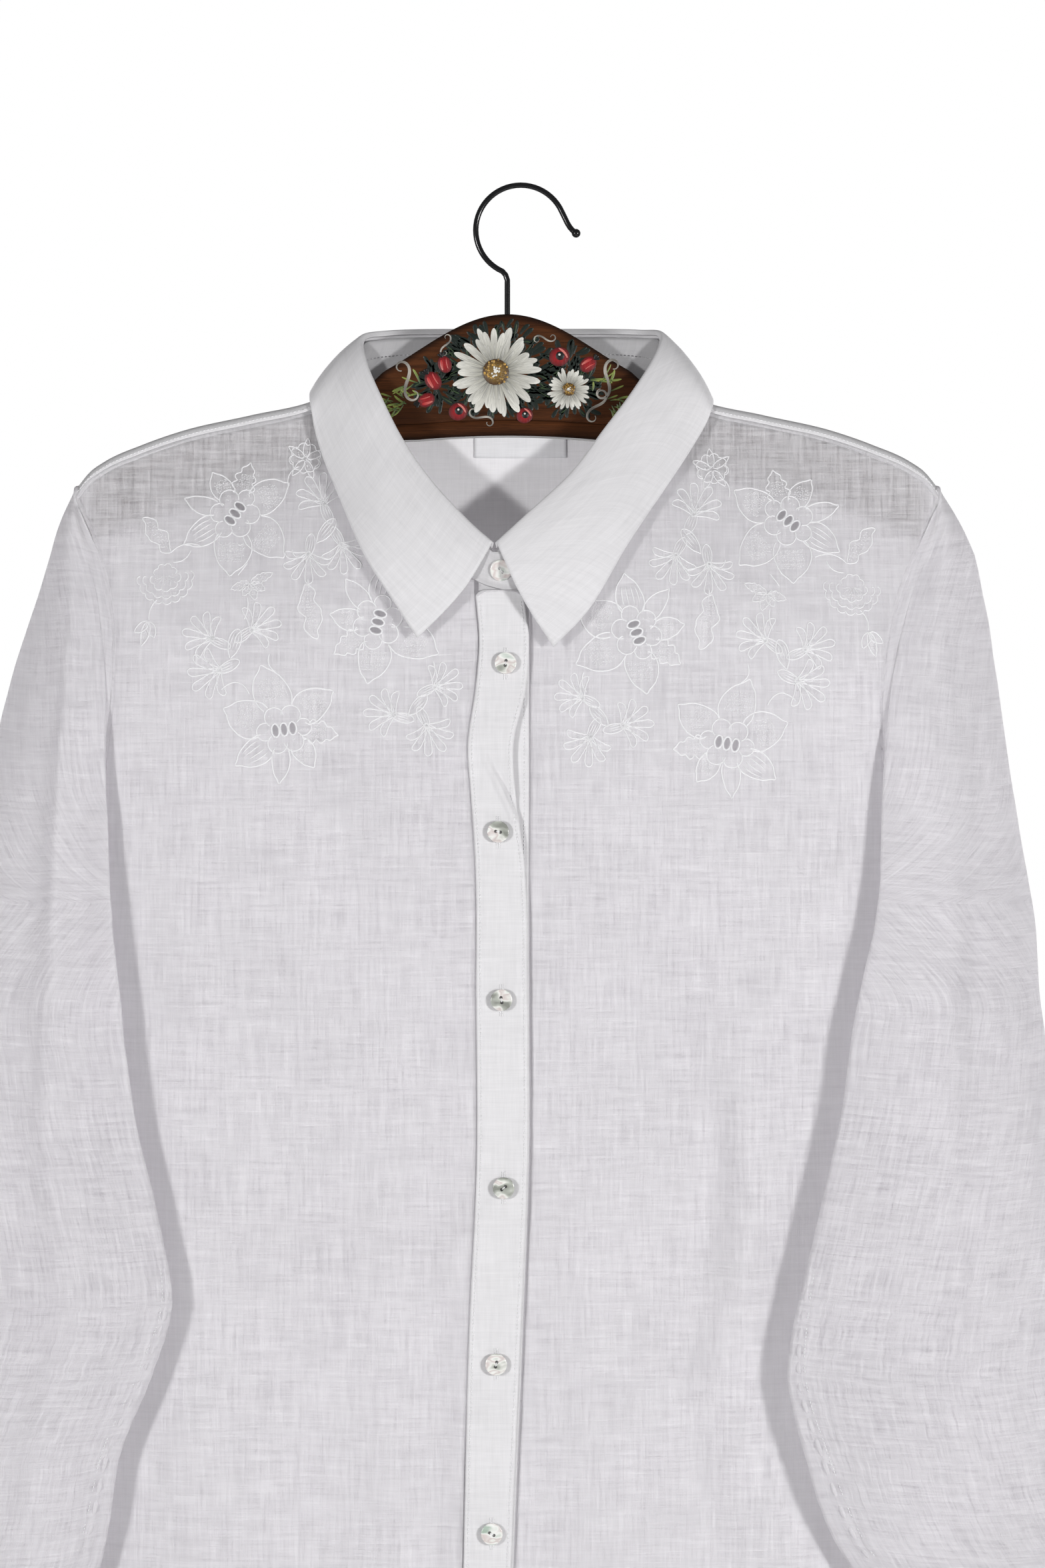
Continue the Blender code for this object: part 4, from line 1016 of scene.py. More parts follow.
def make_front(side):
    sizes = bpy.context.scene.shirt_sizes
    points = front_grid(side)
    uv = points[..., (0, 2)]
    obj = cloth(f"linen_front_{side}", points, sizes.cloth_wall, finish("Linen"), uv, side == "right")
    cutter = slot_cutter(side)
    apply_modifier(obj, "BOOLEAN", operation="DIFFERENCE", solver="EXACT", object=cutter)
    bpy.data.objects.remove(cutter)
    finish_piece(obj, "linen", f"front_{side}")


def shoulder_roll(x, turn):
    """The back where it rolls forward over the ridge; turn 1 is in front, -1 behind."""
    ridge = across(SHOULDER, "ridge", x)
    angle = turn * math.pi / 2
    z = ridge - RIDGE_DROP * (1.0 - np.cos(angle))
    return np.stack(np.broadcast_arrays(x, -RIDGE_HALF * np.sin(angle), z), axis=-1)


def back_top_z(x):
    ridge = across(SHOULDER, "ridge", x)
    return ridge - RIDGE_DROP * np.minimum(np.abs(x) / NECK_X, 1.0) ** 4


def back_folds(x, z):
    sizes = bpy.context.scene.shirt_sizes
    sides = np.where(np.asarray(x) < 0, -side_x("right", z), side_x("left", z))
    folds = creased(BACK_CREASES, x, z) + sizes.rumple * rumpled(x, z, 21)
    folds = folds + 0.00018 * puckered(x - sides, z, seed=2)
    return folds * eased(back_top_z(x) - z, -0.002, 0.030)


def make_back():
    sizes = bpy.context.scene.shirt_sizes
    rows, half_columns = 200, 90
    reach = SHOULDER_X - SEAM_GAP / 2
    neck = np.linspace(0.0, NECK_X, 35)
    half = np.concatenate([neck, np.linspace(NECK_X, reach, half_columns - 34)[1:]])
    stations = np.concatenate([-half[::-1], half[1:]])
    fall = np.linspace(0.0, 1.0, rows + 1)[:, None]
    z = mixed(back_top_z(stations)[None, :], HEM_Z, fall)
    outer = np.where(stations < 0, side_x("right", z), side_x("left", z)) - SEAM_GAP / 2
    x = stations / reach * outer
    body = np.stack([x, back_y(x, z) + back_folds(x, z), z], axis=-1)
    turns = np.linspace(0.96, -1.0, 9)[:-1]
    roll = np.stack([shoulder_roll(stations, turn) for turn in turns])
    points = np.concatenate([roll, body])
    uv = np.stack([points[..., 0], points[..., 2]], axis=-1)
    uv[: len(turns), :, 1] = points[len(turns), :, 2] + 0.0022 * np.arange(len(turns), 0, -1)[:, None]
    middle = len(half) - 1
    keep = np.ones((len(points) - 1, len(stations) - 1), bool)
    keep[: len(turns), middle - len(neck) + 1 : middle + len(neck) - 1] = False
    obj = mesh_from("linen_back", points, grid_faces(*points.shape[:2], keep), uv)
    bm = bmesh.new()
    bm.from_mesh(obj.data)
    bmesh.ops.delete(bm, geom=[v for v in bm.verts if not v.link_faces], context="VERTS")
    bm.to_mesh(obj.data)
    bm.free()
    apply_modifier(obj, "SOLIDIFY", thickness=sizes.cloth_wall, offset=0.0, use_quality_normals=True)
    # The back's darker linen is painted shade for the inside of the neck
    obj.data.materials.append(finish("Linen back with painted shade"))
    finish_piece(obj, "linen", "back")


def off_body(side, x, z, clear):
    """A point beside the body's front, moved out along its normal."""
    step = 0.0005
    sign = SIDES[side]
    slope = (front_y(sign * x, z) - front_y(sign * (x - step), z)) / step
    length = math.hypot(1.0, slope)
    return x + clear * slope / length, front_y(sign * x, z) - clear / length


def sleeve_guides(side, z):
    """Points that the sleeve's level section passes, from the front seam round to the back one."""
    sign = SIDES[side]
    rows = SLEEVE[side]
    inner, outer, lift, outer_y, front_full, back_full, valley = (
        float(level(rows, field, z)) for field in Sleeve._fields[1:]
    )
    clear = LAY_CLEAR + LAY_MORE * eased(-z, 0.290, 0.350)
    if z >= UNDERARM_Z:
        seam_x = float(level(ARMHOLE, side, z)) + SEAM_GAP / 2
        folded = eased(seam_x - inner, -0.006, -0.001)
        front_seam = off_body(side, seam_x, z, clear * folded)
        back_x = seam_x + SLEEVE_BACK_OFF * eased(-z, 0.300, 0.345)
        back_seam = (back_x, back_y(sign * seam_x, z)) if z > UNDERARM_Z else front_seam
    else:
        settled = eased(UNDERARM_Z - z, 0.0, 0.060)
        seam_x = mixed(float(side_x(side, UNDERARM_Z)), inner + 0.008, settled)
        folded = 1.0
        front_seam = off_body(side, seam_x, z, clear)
        back_seam = front_seam
    lain = max(lift, clear * 1.3 * folded)
    width = outer - inner
    fold = (inner, front_y(sign * inner, z) - lain)
    over = off_body(side, mixed(seam_x, inner, 0.35), z, mixed(clear * folded, lain, 0.30))
    near = off_body(side, mixed(seam_x, inner, 0.72), z, mixed(clear * folded, lain, 0.60))
    mid_back_x = max(mixed(outer, back_seam[0], 0.55), min(0.247, outer - 0.25 * width))
    mid_back_y = mixed(outer_y, back_seam[1], 0.55) + back_full * 0.55
    if z < UNDERARM_Z:
        mid_back_y = min(mid_back_y, front_y(sign * 0.225, z) + 0.012)
    return (
        front_seam,
        over,
        near,
        fold,
        (inner + 0.30 * width, mixed(fold[1], outer_y, 0.22) - front_full + valley),
        (inner + 0.66 * width, mixed(fold[1], outer_y, 0.60) - front_full),
        (outer, outer_y),
        (mixed(outer, back_seam[0], 0.22), mixed(outer_y, back_seam[1], 0.20) + back_full),
        (mid_back_x, mid_back_y),
        back_seam,
    )


# Which guides are the inner fold, the outer edge and the last, and about how far apart they lie
FOLD_GUIDE = 3
EDGE_GUIDE = 6
LAST_GUIDE = 9
GUIDE_SPAN = 0.028


def sleeve_section(side, z, stations):
    guides = np.array([[float(a), float(b)] for a, b in sleeve_guides(side, float(z))])
    keys = np.arange(len(guides))
    x = spline(keys, guides[:, 0], stations)
    y = spline(keys, guides[:, 1], stations)
    return np.stack([SIDES[side] * x, y, np.full_like(x, z)], axis=-1)


def sleeve_stations(count=72):
    """Where along its guides a section is read, closer where it folds over."""
    lap = np.linspace(0.0, FOLD_GUIDE, count // 4, endpoint=False)
    front = np.linspace(FOLD_GUIDE, EDGE_GUIDE, count // 2, endpoint=False)
    back = np.linspace(EDGE_GUIDE, LAST_GUIDE, count // 3 + 1)
    return np.concatenate([lap, front, back])


def grid_normals(points):
    along = np.gradient(points, axis=0)
    around = np.gradient(points, axis=1)
    normal = np.cross(along, around)
    return normal / np.maximum(np.linalg.norm(normal, axis=-1, keepdims=True), 1e-12)


def underarm_station(z):
    """Where the sleeve's underarm seam comes round to the front, below the fold's widest point."""
    return FOLD_GUIDE + 0.40 * (SEAM_SHOWS_Z - z) / (SEAM_SHOWS_Z - CUFF_TOP_Z)


def sleeve_folds(side, stations, z):
    sizes = bpy.context.scene.shirt_sizes
    share = (stations - FOLD_GUIDE) / (EDGE_GUIDE - FOLD_GUIDE)
    folds = creased(SLEEVE_CREASES[side], share, z, 1.0)
    around = stations * GUIDE_SPAN
    folds = folds + sizes.rumple * 1.2 * rumpled(around, z, 31 if side == "right" else 32)
    gathers = np.sin(around / 0.0028 + 2.0 * np.sin(around / 0.011)) * eased(-z, 0.690, -CUFF_TOP_Z)
    folds = folds + 0.0007 * gathers
    off_seam = (stations - underarm_station(z)) * GUIDE_SPAN
    shows = eased(-z, -SEAM_SHOWS_Z, -SEAM_SHOWS_Z + 0.03)
    folds = folds + 0.0005 * puckered(off_seam, z, 0.009, 0.010, 7) * shows
    behind = eased(stations, EDGE_GUIDE + 1.7, LAST_GUIDE - 0.3)
    on_lap = eased(stations, 1.2, FOLD_GUIDE + 0.15) * (1.0 - behind)
    return folds * on_lap * eased(-z, 0.165, 0.215)


def sleeve_grid(side, stations, rows=190):
    first_z = float(top_z(SHOULDER_X))
    cap_z = mixed(first_z, UNDERARM_Z, 0.14)
    head = mixed(1.0, -1.0, stations / LAST_GUIDE)
    arch = shoulder_roll(np.full_like(stations, SHOULDER_X + ARCH_OFF), head)
    arch[:, 0] *= SIDES[side]
    below = sleeve_section(side, cap_z, stations)
    sections = []
    for share in np.linspace(0.0, 1.0, 12, endpoint=False):
        section = mixed(arch, below, share)
        bulge = math.sin(math.pi * share) * np.sin(math.pi * stations / LAST_GUIDE)
        section[:, 0] += SIDES[side] * 0.0016 * bulge
        sections.append(section)
    falls = np.linspace(0.0, 1.0, rows)
    for fall in falls:
        sections.append(sleeve_section(side, mixed(cap_z, CUFF_TOP_Z, fall), stations))
    points = np.stack(sections)
    out = -grid_normals(points) * SIDES[side]
    return points + out * sleeve_folds(side, stations[None, :], points[..., 2])[..., None]


def sleeve_row(side, stations, levels, out):
    """Points on a sleeve and its facing there, for a seam or a row of stitches."""
    around = np.stack(
        [sleeve_section(side, z, np.array([s - 0.03, s, s + 0.03])) for s, z in zip(stations, levels)]
    )
    step = around[:, 2] - around[:, 0]
    facing = np.stack([step[:, 1], -step[:, 0], np.zeros(len(step))], axis=-1) * SIDES[side]
    facing /= np.linalg.norm(facing, axis=1, keepdims=True)
    return around[:, 1] + facing * (out + sleeve_folds(side, stations, levels))[:, None], facing


def make_sleeve(side):
    sizes = bpy.context.scene.shirt_sizes
    stations = sleeve_stations()
    points = sleeve_grid(side, stations)
    obj = cloth(f"linen_sleeve_{side}", points, sizes.cloth_wall, finish("Linen"), flip=side == "right")
    finish_piece(obj, "linen", f"sleeve_{side}")


def make_cuff(side):
    sizes = bpy.context.scene.shirt_sizes
    stations = sleeve_stations(60)
    levels = np.linspace(CUFF_TOP_Z - SEAM_GAP, CUFF_BOTTOM_Z, 20)
    points = np.stack([sleeve_section(side, z, stations) for z in levels])
    ripple = 0.0003 * rumpled(stations[None, :] * GUIDE_SPAN, points[..., 2], 41)
    points[..., 1] -= ripple
    obj = cloth(f"linen_cuff_{side}", points, sizes.band_wall, finish("Linen band"), flip=side == "right")
    finish_piece(obj, "linen_band", f"cuff_{side}")


def collar_value(side, turn, field):
    rows = COLLAR[side][::-1]
    return spline([row.turn for row in rows], [getattr(row, field) for row in rows], turn)


def fold_points(side, turn):
    return np.stack([collar_value(side, turn, f"fold_{axis}") for axis in "xyz"], axis=-1)


def outward(side, turn):
    """Level directions away from the neck at stations of the collar."""
    ahead = fold_points(side, np.minimum(turn + 0.02, 1.0))
    behind = fold_points(side, np.maximum(turn - 0.02, 0.0))
    along = ahead - behind
    away = np.stack([along[:, 1], -along[:, 0], np.zeros(len(along))], axis=-1) * -SIDES[side]
    return away / np.linalg.norm(away, axis=1, keepdims=True)


def collar_line(count=90):
    """Stations in one run, from the right front edge round the back to the left."""
    turns = np.linspace(1.0, 0.0, count)
    return (("right", turns), ("left", turns[::-1][1:]))


def leaf_edge(side, turn):
    x = collar_value(side, turn, "edge_x")
    z = collar_value(side, turn, "edge_z")
    front = front_y(x, z) - LEAF_OFF_BODY
    back = back_y(x, z) + LEAF_OFF_BODY
    return np.stack([x, mixed(back, front, eased(turn, 0.22, 0.40)), z], axis=-1)


def leaf_grid():
    profile = np.concatenate([np.linspace(0.0, 2.0, 13)[:-1], np.linspace(2.0, 6.0, 26)])
    parts = []
    for side, turn in collar_line():
        fold = fold_points(side, turn)
        away = outward(side, turn)
        up = np.array([0.0, 0.0, 1.0])
        start = fold + away * LEAF_ROLL * 0.6
        edge = leaf_edge(side, turn)
        guides = [fold - (away + up) * LEAF_ROLL, fold]
        for share in (0.2, 0.4, 0.6, 0.8, 1.0):
            full = LEAF_FULL * math.sin(math.pi * share)
            guides.append(mixed(start, edge, share) + away * full)
        guides = np.stack(guides)
        keys = np.arange(len(guides))
        columns = [
            np.stack([spline(keys, guides[:, i, axis], profile) for axis in range(3)], axis=-1)
            for i in range(len(turn))
        ]
        columns = np.stack(columns, axis=1)
        share = np.clip((profile - 1.0) / 5.0, 0.0, 1.0)[:, None]
        columns[..., 0] += LEAF_BOW[side] * np.sin(math.pi * share) * eased(turn, 0.82, 1.0)[None, :]
        columns[..., 1] -= 0.0016 * share * eased(turn, 0.55, 0.95)[None, :]
        parts.append(columns)
    points = np.concatenate(parts, axis=1)
    run = run_lengths(points, 1)
    depth = run_lengths(points, 0)
    soft = rumpled(run, depth, 51, 0.06, 0.02) * 0.00022
    lift = eased(depth, 0.004, 0.02)
    normals = grid_normals(points)
    return points + normals * (soft * lift)[..., None]


def make_collar_leaf():
    sizes = bpy.context.scene.shirt_sizes
    points = leaf_grid()
    obj = cloth("linen_collar_leaf", points, sizes.band_wall, finish("Linen band"))
    finish_piece(obj, "linen_band", "collar_leaf")


def neck_points(side, turn):
    """The seam line of neck and collar, from the middle of the back to that of the front."""
    reach = SIDES[side] * (NECK_X - STAND_INSET)
    back_turn, front_turn = ROLL_TURNS
    behind_x = reach * np.sin(math.pi / 2 * np.clip(turn / back_turn, 0.0, 1.0))
    behind = np.stack([behind_x, back_y(behind_x, back_top_z(behind_x)), back_top_z(behind_x)], axis=-1)
    rolled = np.clip((turn - back_turn) / (front_turn - back_turn), 0.0, 1.0)
    over = shoulder_roll(np.full_like(turn, reach), mixed(-1.0, 1.0, rolled))
    front_x = reach * np.cos(math.pi / 2 * np.clip((turn - front_turn) / (1.0 - front_turn), 0.0, 1.0))
    front = np.stack([front_x, front_y(front_x, top_z(front_x)), top_z(front_x)], axis=-1)
    turn = turn[:, None]
    return np.where(turn < back_turn, behind, np.where(turn <= front_turn, over, front))


def stand_lines(side, turn):
    lower = neck_points(side, turn) + (0.0, 0.0, STAND_OFF_SEAM)
    drop = np.array([0.0, 0.0, LEAF_ROLL + STAND_TOP_DROP])
    upper = fold_points(side, turn) - outward(side, turn) * LEAF_ROLL - drop
    return lower, upper


def stand_grid():
    lower = []
    upper = []
    for side, turn in collar_line():
        low, high = stand_lines(side, turn)
        lower.append(low)
        upper.append(high)
    lower = np.concatenate(lower)
    upper = np.concatenate(upper)
    sections = []
    for share in np.linspace(1.0, 0.0, 12):
        section = mixed(lower, upper, share)
        section[-1, 1] += LAP_STEP
        right = mixed(section[0], (STAND_LAPS["right"], *section[0][1:]), np.linspace(1.0, 0.0, 6)[:-1, None])
        left = mixed(section[-1], (STAND_LAPS["left"], *section[-1][1:]), np.linspace(0.0, 1.0, 6)[1:, None])
        sections.append(np.concatenate([right, section, left]))
    foot = sections[-1] - (0.0, 0.0, STAND_OFF_SEAM - 0.0008)
    front = eased(-foot[:, 1], 0.012, 0.030)
    foot[:, 1] -= 0.0012 * front
    return np.stack(sections + [foot])


def make_collar_stand():
    sizes = bpy.context.scene.shirt_sizes
    points = stand_grid()
    obj = cloth("linen_collar_stand", points, sizes.band_wall, finish("Linen band"))
    finish_piece(obj, "linen_band", "collar_stand")


def band_surface(kind, x, z, out=0.0):
    """Points of a front band, out metres off the middle of its cloth."""
    x = np.asarray(x, float)
    z = np.asarray(z, float)
    over = kind == "over"
    folds = creased(BAND_CREASES, x, z) * (1.0 if over else 0.25)
    soft = 0.00025 * rumpled(x, z, 61 if over else 62, 0.05, 0.012)
    y = front_y(x, z) - (LAP_STEP if over else 0.0) - folds - soft - out
    return np.stack([x, y, z], axis=-1)


def band_edges(kind, z):
    if kind == "over":
        return level(BANDS, "seam", z) + SEAM_GAP / 2, level(BANDS, "free", z)
    right = level(BANDS, "under", z) - SEAM_GAP / 2
    return right - BAND_WIDTH, right


def make_band(kind):
    sizes = bpy.context.scene.shirt_sizes
    fall = np.linspace(0.0, 1.0, 330)[:, None]
    share = np.linspace(0.0, 1.0, 25)[None, :]
    corner = 0.0030 * np.abs(2.0 * share - 1.0) ** 6
    z = mixed(BAND_TOP_Z + BAND_RISE - corner, HEM_Z, fall)
    low, high = band_edges(kind, z)
    x = mixed(low, high, share)
    points = band_surface(kind, x, z)
    wall = sizes.band_wall if kind == "over" else sizes.cloth_wall
    obj = cloth(f"linen_placket_{kind}", points, wall, finish("Linen band"), points[..., (0, 2)])
    finish_piece(obj, "linen_band", f"placket_{kind}")


def make_label():
    width, height = LABEL_SIZE
    x = LABEL_X + width * np.linspace(-0.5, 0.5, 25)[None, :]
    z = LABEL_TOP_Z - height * np.linspace(0.0, 1.0, 17)[:, None]
    x, z = np.broadcast_arrays(x, z)
    off = CLOTH_HALF + LABEL_OFF + 0.0004
    curl = 0.0006 * eased(-z, 0.118, 0.140)
    points = np.stack([x, back_y(x, z) - off - curl, z], axis=-1)
    obj = cloth("woven_label", points, 0.0005, finish("Woven label"), points[..., (0, 2)])
    finish_piece(obj, "woven_label", "label")


BUTTON_THICKNESS = 0.0018
BUTTON_HALF = 0.0009
BUTTON_OFF = 0.0011
HOLE_X = 0.00125
HOLE_RADIUS = 0.00084
THREAD_RADIUS = 0.00012


def model_button():
    """A two-hole shell button at the origin, its face up."""
    sizes = bpy.context.scene.shirt_sizes
    radius = sizes.button_radius
    thickness = BUTTON_THICKNESS
    deselect()
    bpy.ops.mesh.primitive_cylinder_add(vertices=48, radius=radius, depth=thickness, location=(0, 0, 0))
    button = bpy.context.object
    button.name = "nacre_button"
    bpy.ops.object.mode_set(mode="EDIT")
    bpy.ops.mesh.select_all(action="DESELECT")
    bm = bmesh.from_edit_mesh(button.data)
    for face in bm.faces:
        face.select_set(face.normal.z > 0.9)
    bmesh.update_edit_mesh(button.data)
    bpy.ops.mesh.inset(thickness=radius * 0.10)
    bpy.ops.mesh.inset(thickness=radius * 0.16)
    bpy.ops.transform.translate(value=(0.0, 0.0, -thickness * 0.12))
    bpy.ops.mesh.inset(thickness=radius * 0.16)
    bpy.ops.transform.translate(value=(0.0, 0.0, -thickness * 0.16))
    bpy.ops.mesh.inset(thickness=radius * 0.20)
    bpy.ops.object.mode_set(mode="OBJECT")
    apply_modifier(button, "BEVEL", width=0.00040, segments=3, limit_method="ANGLE", angle_limit=0.6)
    for x in (-HOLE_X, HOLE_X):
        deselect()
        bpy.ops.mesh.primitive_cylinder_add(vertices=18, radius=HOLE_RADIUS, depth=0.006, location=(x, 0, 0))
        drill = bpy.context.object
        apply_modifier(button, "BOOLEAN", operation="DIFFERENCE", solver="EXACT", object=drill)
        bpy.data.objects.remove(drill)
    make_active(button)
    bpy.ops.object.shade_smooth_by_angle(angle=math.radians(35))
    button.data.materials.append(finish("Nacre"))
    return button


def model_button_thread():
    """The sewing thread between a button's two holes, at the origin."""
    batch = Batch()
    x = np.linspace(-0.00095, 0.00095, 9)
    height = 0.00030 + 0.00012 * (1.0 - (x / 0.00095) ** 4)
    for y in (-THREAD_RADIUS, THREAD_RADIUS):
        rings = []
        for angle in np.linspace(0.0, -2 * math.pi, 6, endpoint=False):
            beside = np.full_like(x, y + THREAD_RADIUS * math.cos(angle))
            rings.append(np.stack([x, beside, height + THREAD_RADIUS * math.sin(angle)], axis=-1))
        points = np.stack(rings + rings[:1], axis=1)
        batch.add(points - (STEM_X, 0, 0), grid_faces(*points.shape[:2]))
    return batch.build("button_thread", finish("Thread"))


def place_copy(model, name, matrix):
    """A copy of a model with its own mesh, moved to its place."""
    obj = new_object(name, model.data.copy())
    obj.data.transform(matrix)
    obj.data.update()
    return obj


def button_places():
    """Name, node, point and facing of every button."""
    places = []
    clear = SEAM_GAP + BUTTON_OFF
    lower, upper = stand_lines("right", np.array([1.0]))
    lower, upper = Vector(lower[0]), Vector(upper[0])
    up = (upper - lower).normalized()
    facing = Vector((0.0, -up.z, up.y)).normalized()
    first = BUTTONS[0]
    spot = lower.lerp(upper, (first.z - lower.z) / (upper.z - lower.z))
    spot.x = first.x
    places.append(("1", spot + facing * (CLOTH_HALF + clear), facing, first.turn))
    for number, row in enumerate(BUTTONS[1:], 2):
        slope = float(front_y(row.x, row.z + 0.005) - front_y(row.x, row.z - 0.005)) / 0.010
        facing = Vector((0.0, -1.0, slope)).normalized()
        spot = Vector((row.x, float(front_y(row.x, row.z)), row.z))
        places.append((str(number), spot + facing * (LAP_STEP + BUTTON_HALF + clear), facing, row.turn))
    return places


def cuff_button_place(side):
    z = mixed(CUFF_TOP_Z, CUFF_BOTTOM_Z, 0.5)
    around = sleeve_section(side, z, np.array([6.67, 7.0, 7.34]))
    along = Vector(around[2] - around[0])
    facing = Vector((along.y, -along.x, 0.0)).normalized()
    if facing.y < 0:
        facing = -facing
    return Vector(around[1]) + facing * (BUTTON_HALF + SEAM_GAP + BUTTON_OFF), facing


def make_buttons():
    model = model_button()
    thread = model_button_thread()
    places = [(f"button_{n}", spot, facing, turn) for n, spot, facing, turn in button_places()]
    for side in SIDES:
        spot, facing = cuff_button_place(side)
        places.append((f"cuff_button_{side}", spot, facing, 20.0))
    for node_name, spot, facing, turn in places:
        spun = Matrix.Rotation(math.radians(turn), 4, "Z")
        turned = facing.to_track_quat("Z", "Y").to_matrix().to_4x4()
        matrix = Matrix.Translation(spot + Vector((STEM_X, 0, 0))) @ turned @ spun
        shell = place_copy(model, f"nacre_{node_name}", matrix)
        finish_piece(shell, "shell", node_name)
        sewn = place_copy(thread, f"thread_{node_name}", matrix)
        finish_piece(sewn, "linen_band")
    for obj in (model, thread):
        bpy.data.objects.remove(obj)


def along_heading(outline, x, z, heading):
    """Turns a flat outline drawn along +X to a heading and moves it; millimetres to metres."""
    angle = math.radians(heading)
    turned = np.stack(
        [
            outline[:, 0] * math.cos(angle) - outline[:, 1] * math.sin(angle),
            outline[:, 0] * math.sin(angle) + outline[:, 1] * math.cos(angle),
        ],
        axis=1,
    )
    return (turned + (x, z)) * 0.001


def petal_half(t, width, ragged=False):
    """Half the width of a petal: full past its middle, then drawn in to a point."""
    t = np.clip(t, 0.0, 1.0)
    half = width / 2 * np.sin(math.pi * t**0.82) ** 0.72 * (1.0 - 0.42 * np.exp(-(((t - 0.94) / 0.09) ** 2)))
    if ragged:
        half = half * (0.72 + 0.50 * np.abs(np.sin(t * 4.2 * math.pi)))
    return half


def petal_outline(start, length, width, bend, ragged=False, base=0.0):
    """Outline of a pointed petal along +X from start to length, open below its base share."""
    t = np.linspace(base, 1.0, 36)
    x = mixed(start, length, t)
    middle = bend * t**2.2
    half = petal_half(t, width, ragged)
    upper = np.stack([x, middle + half], axis=1)
    lower = np.stack([x, middle - half * (0.92 + 0.08 * np.cos(t * 5.0))], axis=1)
    return np.vstack([upper, lower[::-1][1:]])


def finger_outline(start, length, width, bend):
    """Outline of a slender petal along +X that widens to a round end and curls to one side."""
    t = np.linspace(0.0, 1.0, 22)
    end = np.sqrt(np.clip(1.0 - (np.maximum(t - 0.80, 0.0) / 0.20) ** 2, 0.0, 1.0))
    half = width / 2 * (0.28 + 0.72 * t) * end
    x = mixed(start, length, t) - abs(bend) * 0.22 * t**3
    middle = bend * t**2.4
    upper = np.stack([x, middle + half], axis=1)
    lower = np.stack([x, middle - half], axis=1)
    return np.vstack([upper, lower[::-1][1:]])


def seed_spots(start, length, width, bend, draw, low=0.16, high=0.72, fill=0.66, pitch=1.15):
    """Where the seed stitches of a petal go: a jittered scatter inside its outline."""
    spots = []
    for x in np.arange(mixed(start, length, low), mixed(start, length, high), pitch):
        t = (x - start) / (length - start)
        half = float(petal_half(np.array([t]), width)[0]) * fill
        for y in np.arange(-half, half, pitch):
            spots.append((x + draw.uniform(-0.35, 0.35), y + bend * t**2.2 + draw.uniform(-0.35, 0.35)))
    return np.array(spots).reshape(-1, 2)


def add_seeds(batch, spots, surface, size=0.00042, height=0.00030):
    """Small raised knots as four-sided studs."""
    if not len(spots):
        return
    offsets = np.array([(-1.0, 0.0), (0.0, -0.75), (1.0, 0.0), (0.0, 0.75)]) * size
    ring = spots[:, None, :] + offsets[None]
    low = surface(ring[..., 0], ring[..., 1], np.full(ring.shape[:2], -0.00005))
    top_ring = spots[:, None, :] + offsets[None] * 0.5
    high = surface(top_ring[..., 0], top_ring[..., 1], np.full(ring.shape[:2], height))
    points = np.concatenate([low, high], axis=1)
    quads = [(i, (i + 1) % 4, (i + 1) % 4 + 4, i + 4) for i in range(4)] + [(4, 5, 6, 7)]
    faces = np.array(quads)[None] + (np.arange(len(spots)) * 8)[:, None, None]
    batch.add(points.reshape(-1, 3), faces.reshape(-1, 4))


# The petals of a blossom seen from the side: degrees off its heading, length share, bend in millimetres
FAN_PETALS = (
    (-66, 0.72, -3.2),
    (-42, 0.86, -2.6),
    (-18, 0.93, -1.0),
    (8, 0.95, 0.8),
    (34, 0.88, 2.4),
    (60, 0.74, 3.2),
)

# The inner loops of a large flower: degrees off its slots, reach and radius in millimetres
CUPS = ((0, 9.8, 4.3), (58, 8.2, 4.9), (122, 8.2, 4.8), (180, 9.8, 4.4), (238, 8.0, 4.9), (302, 8.0, 4.9))


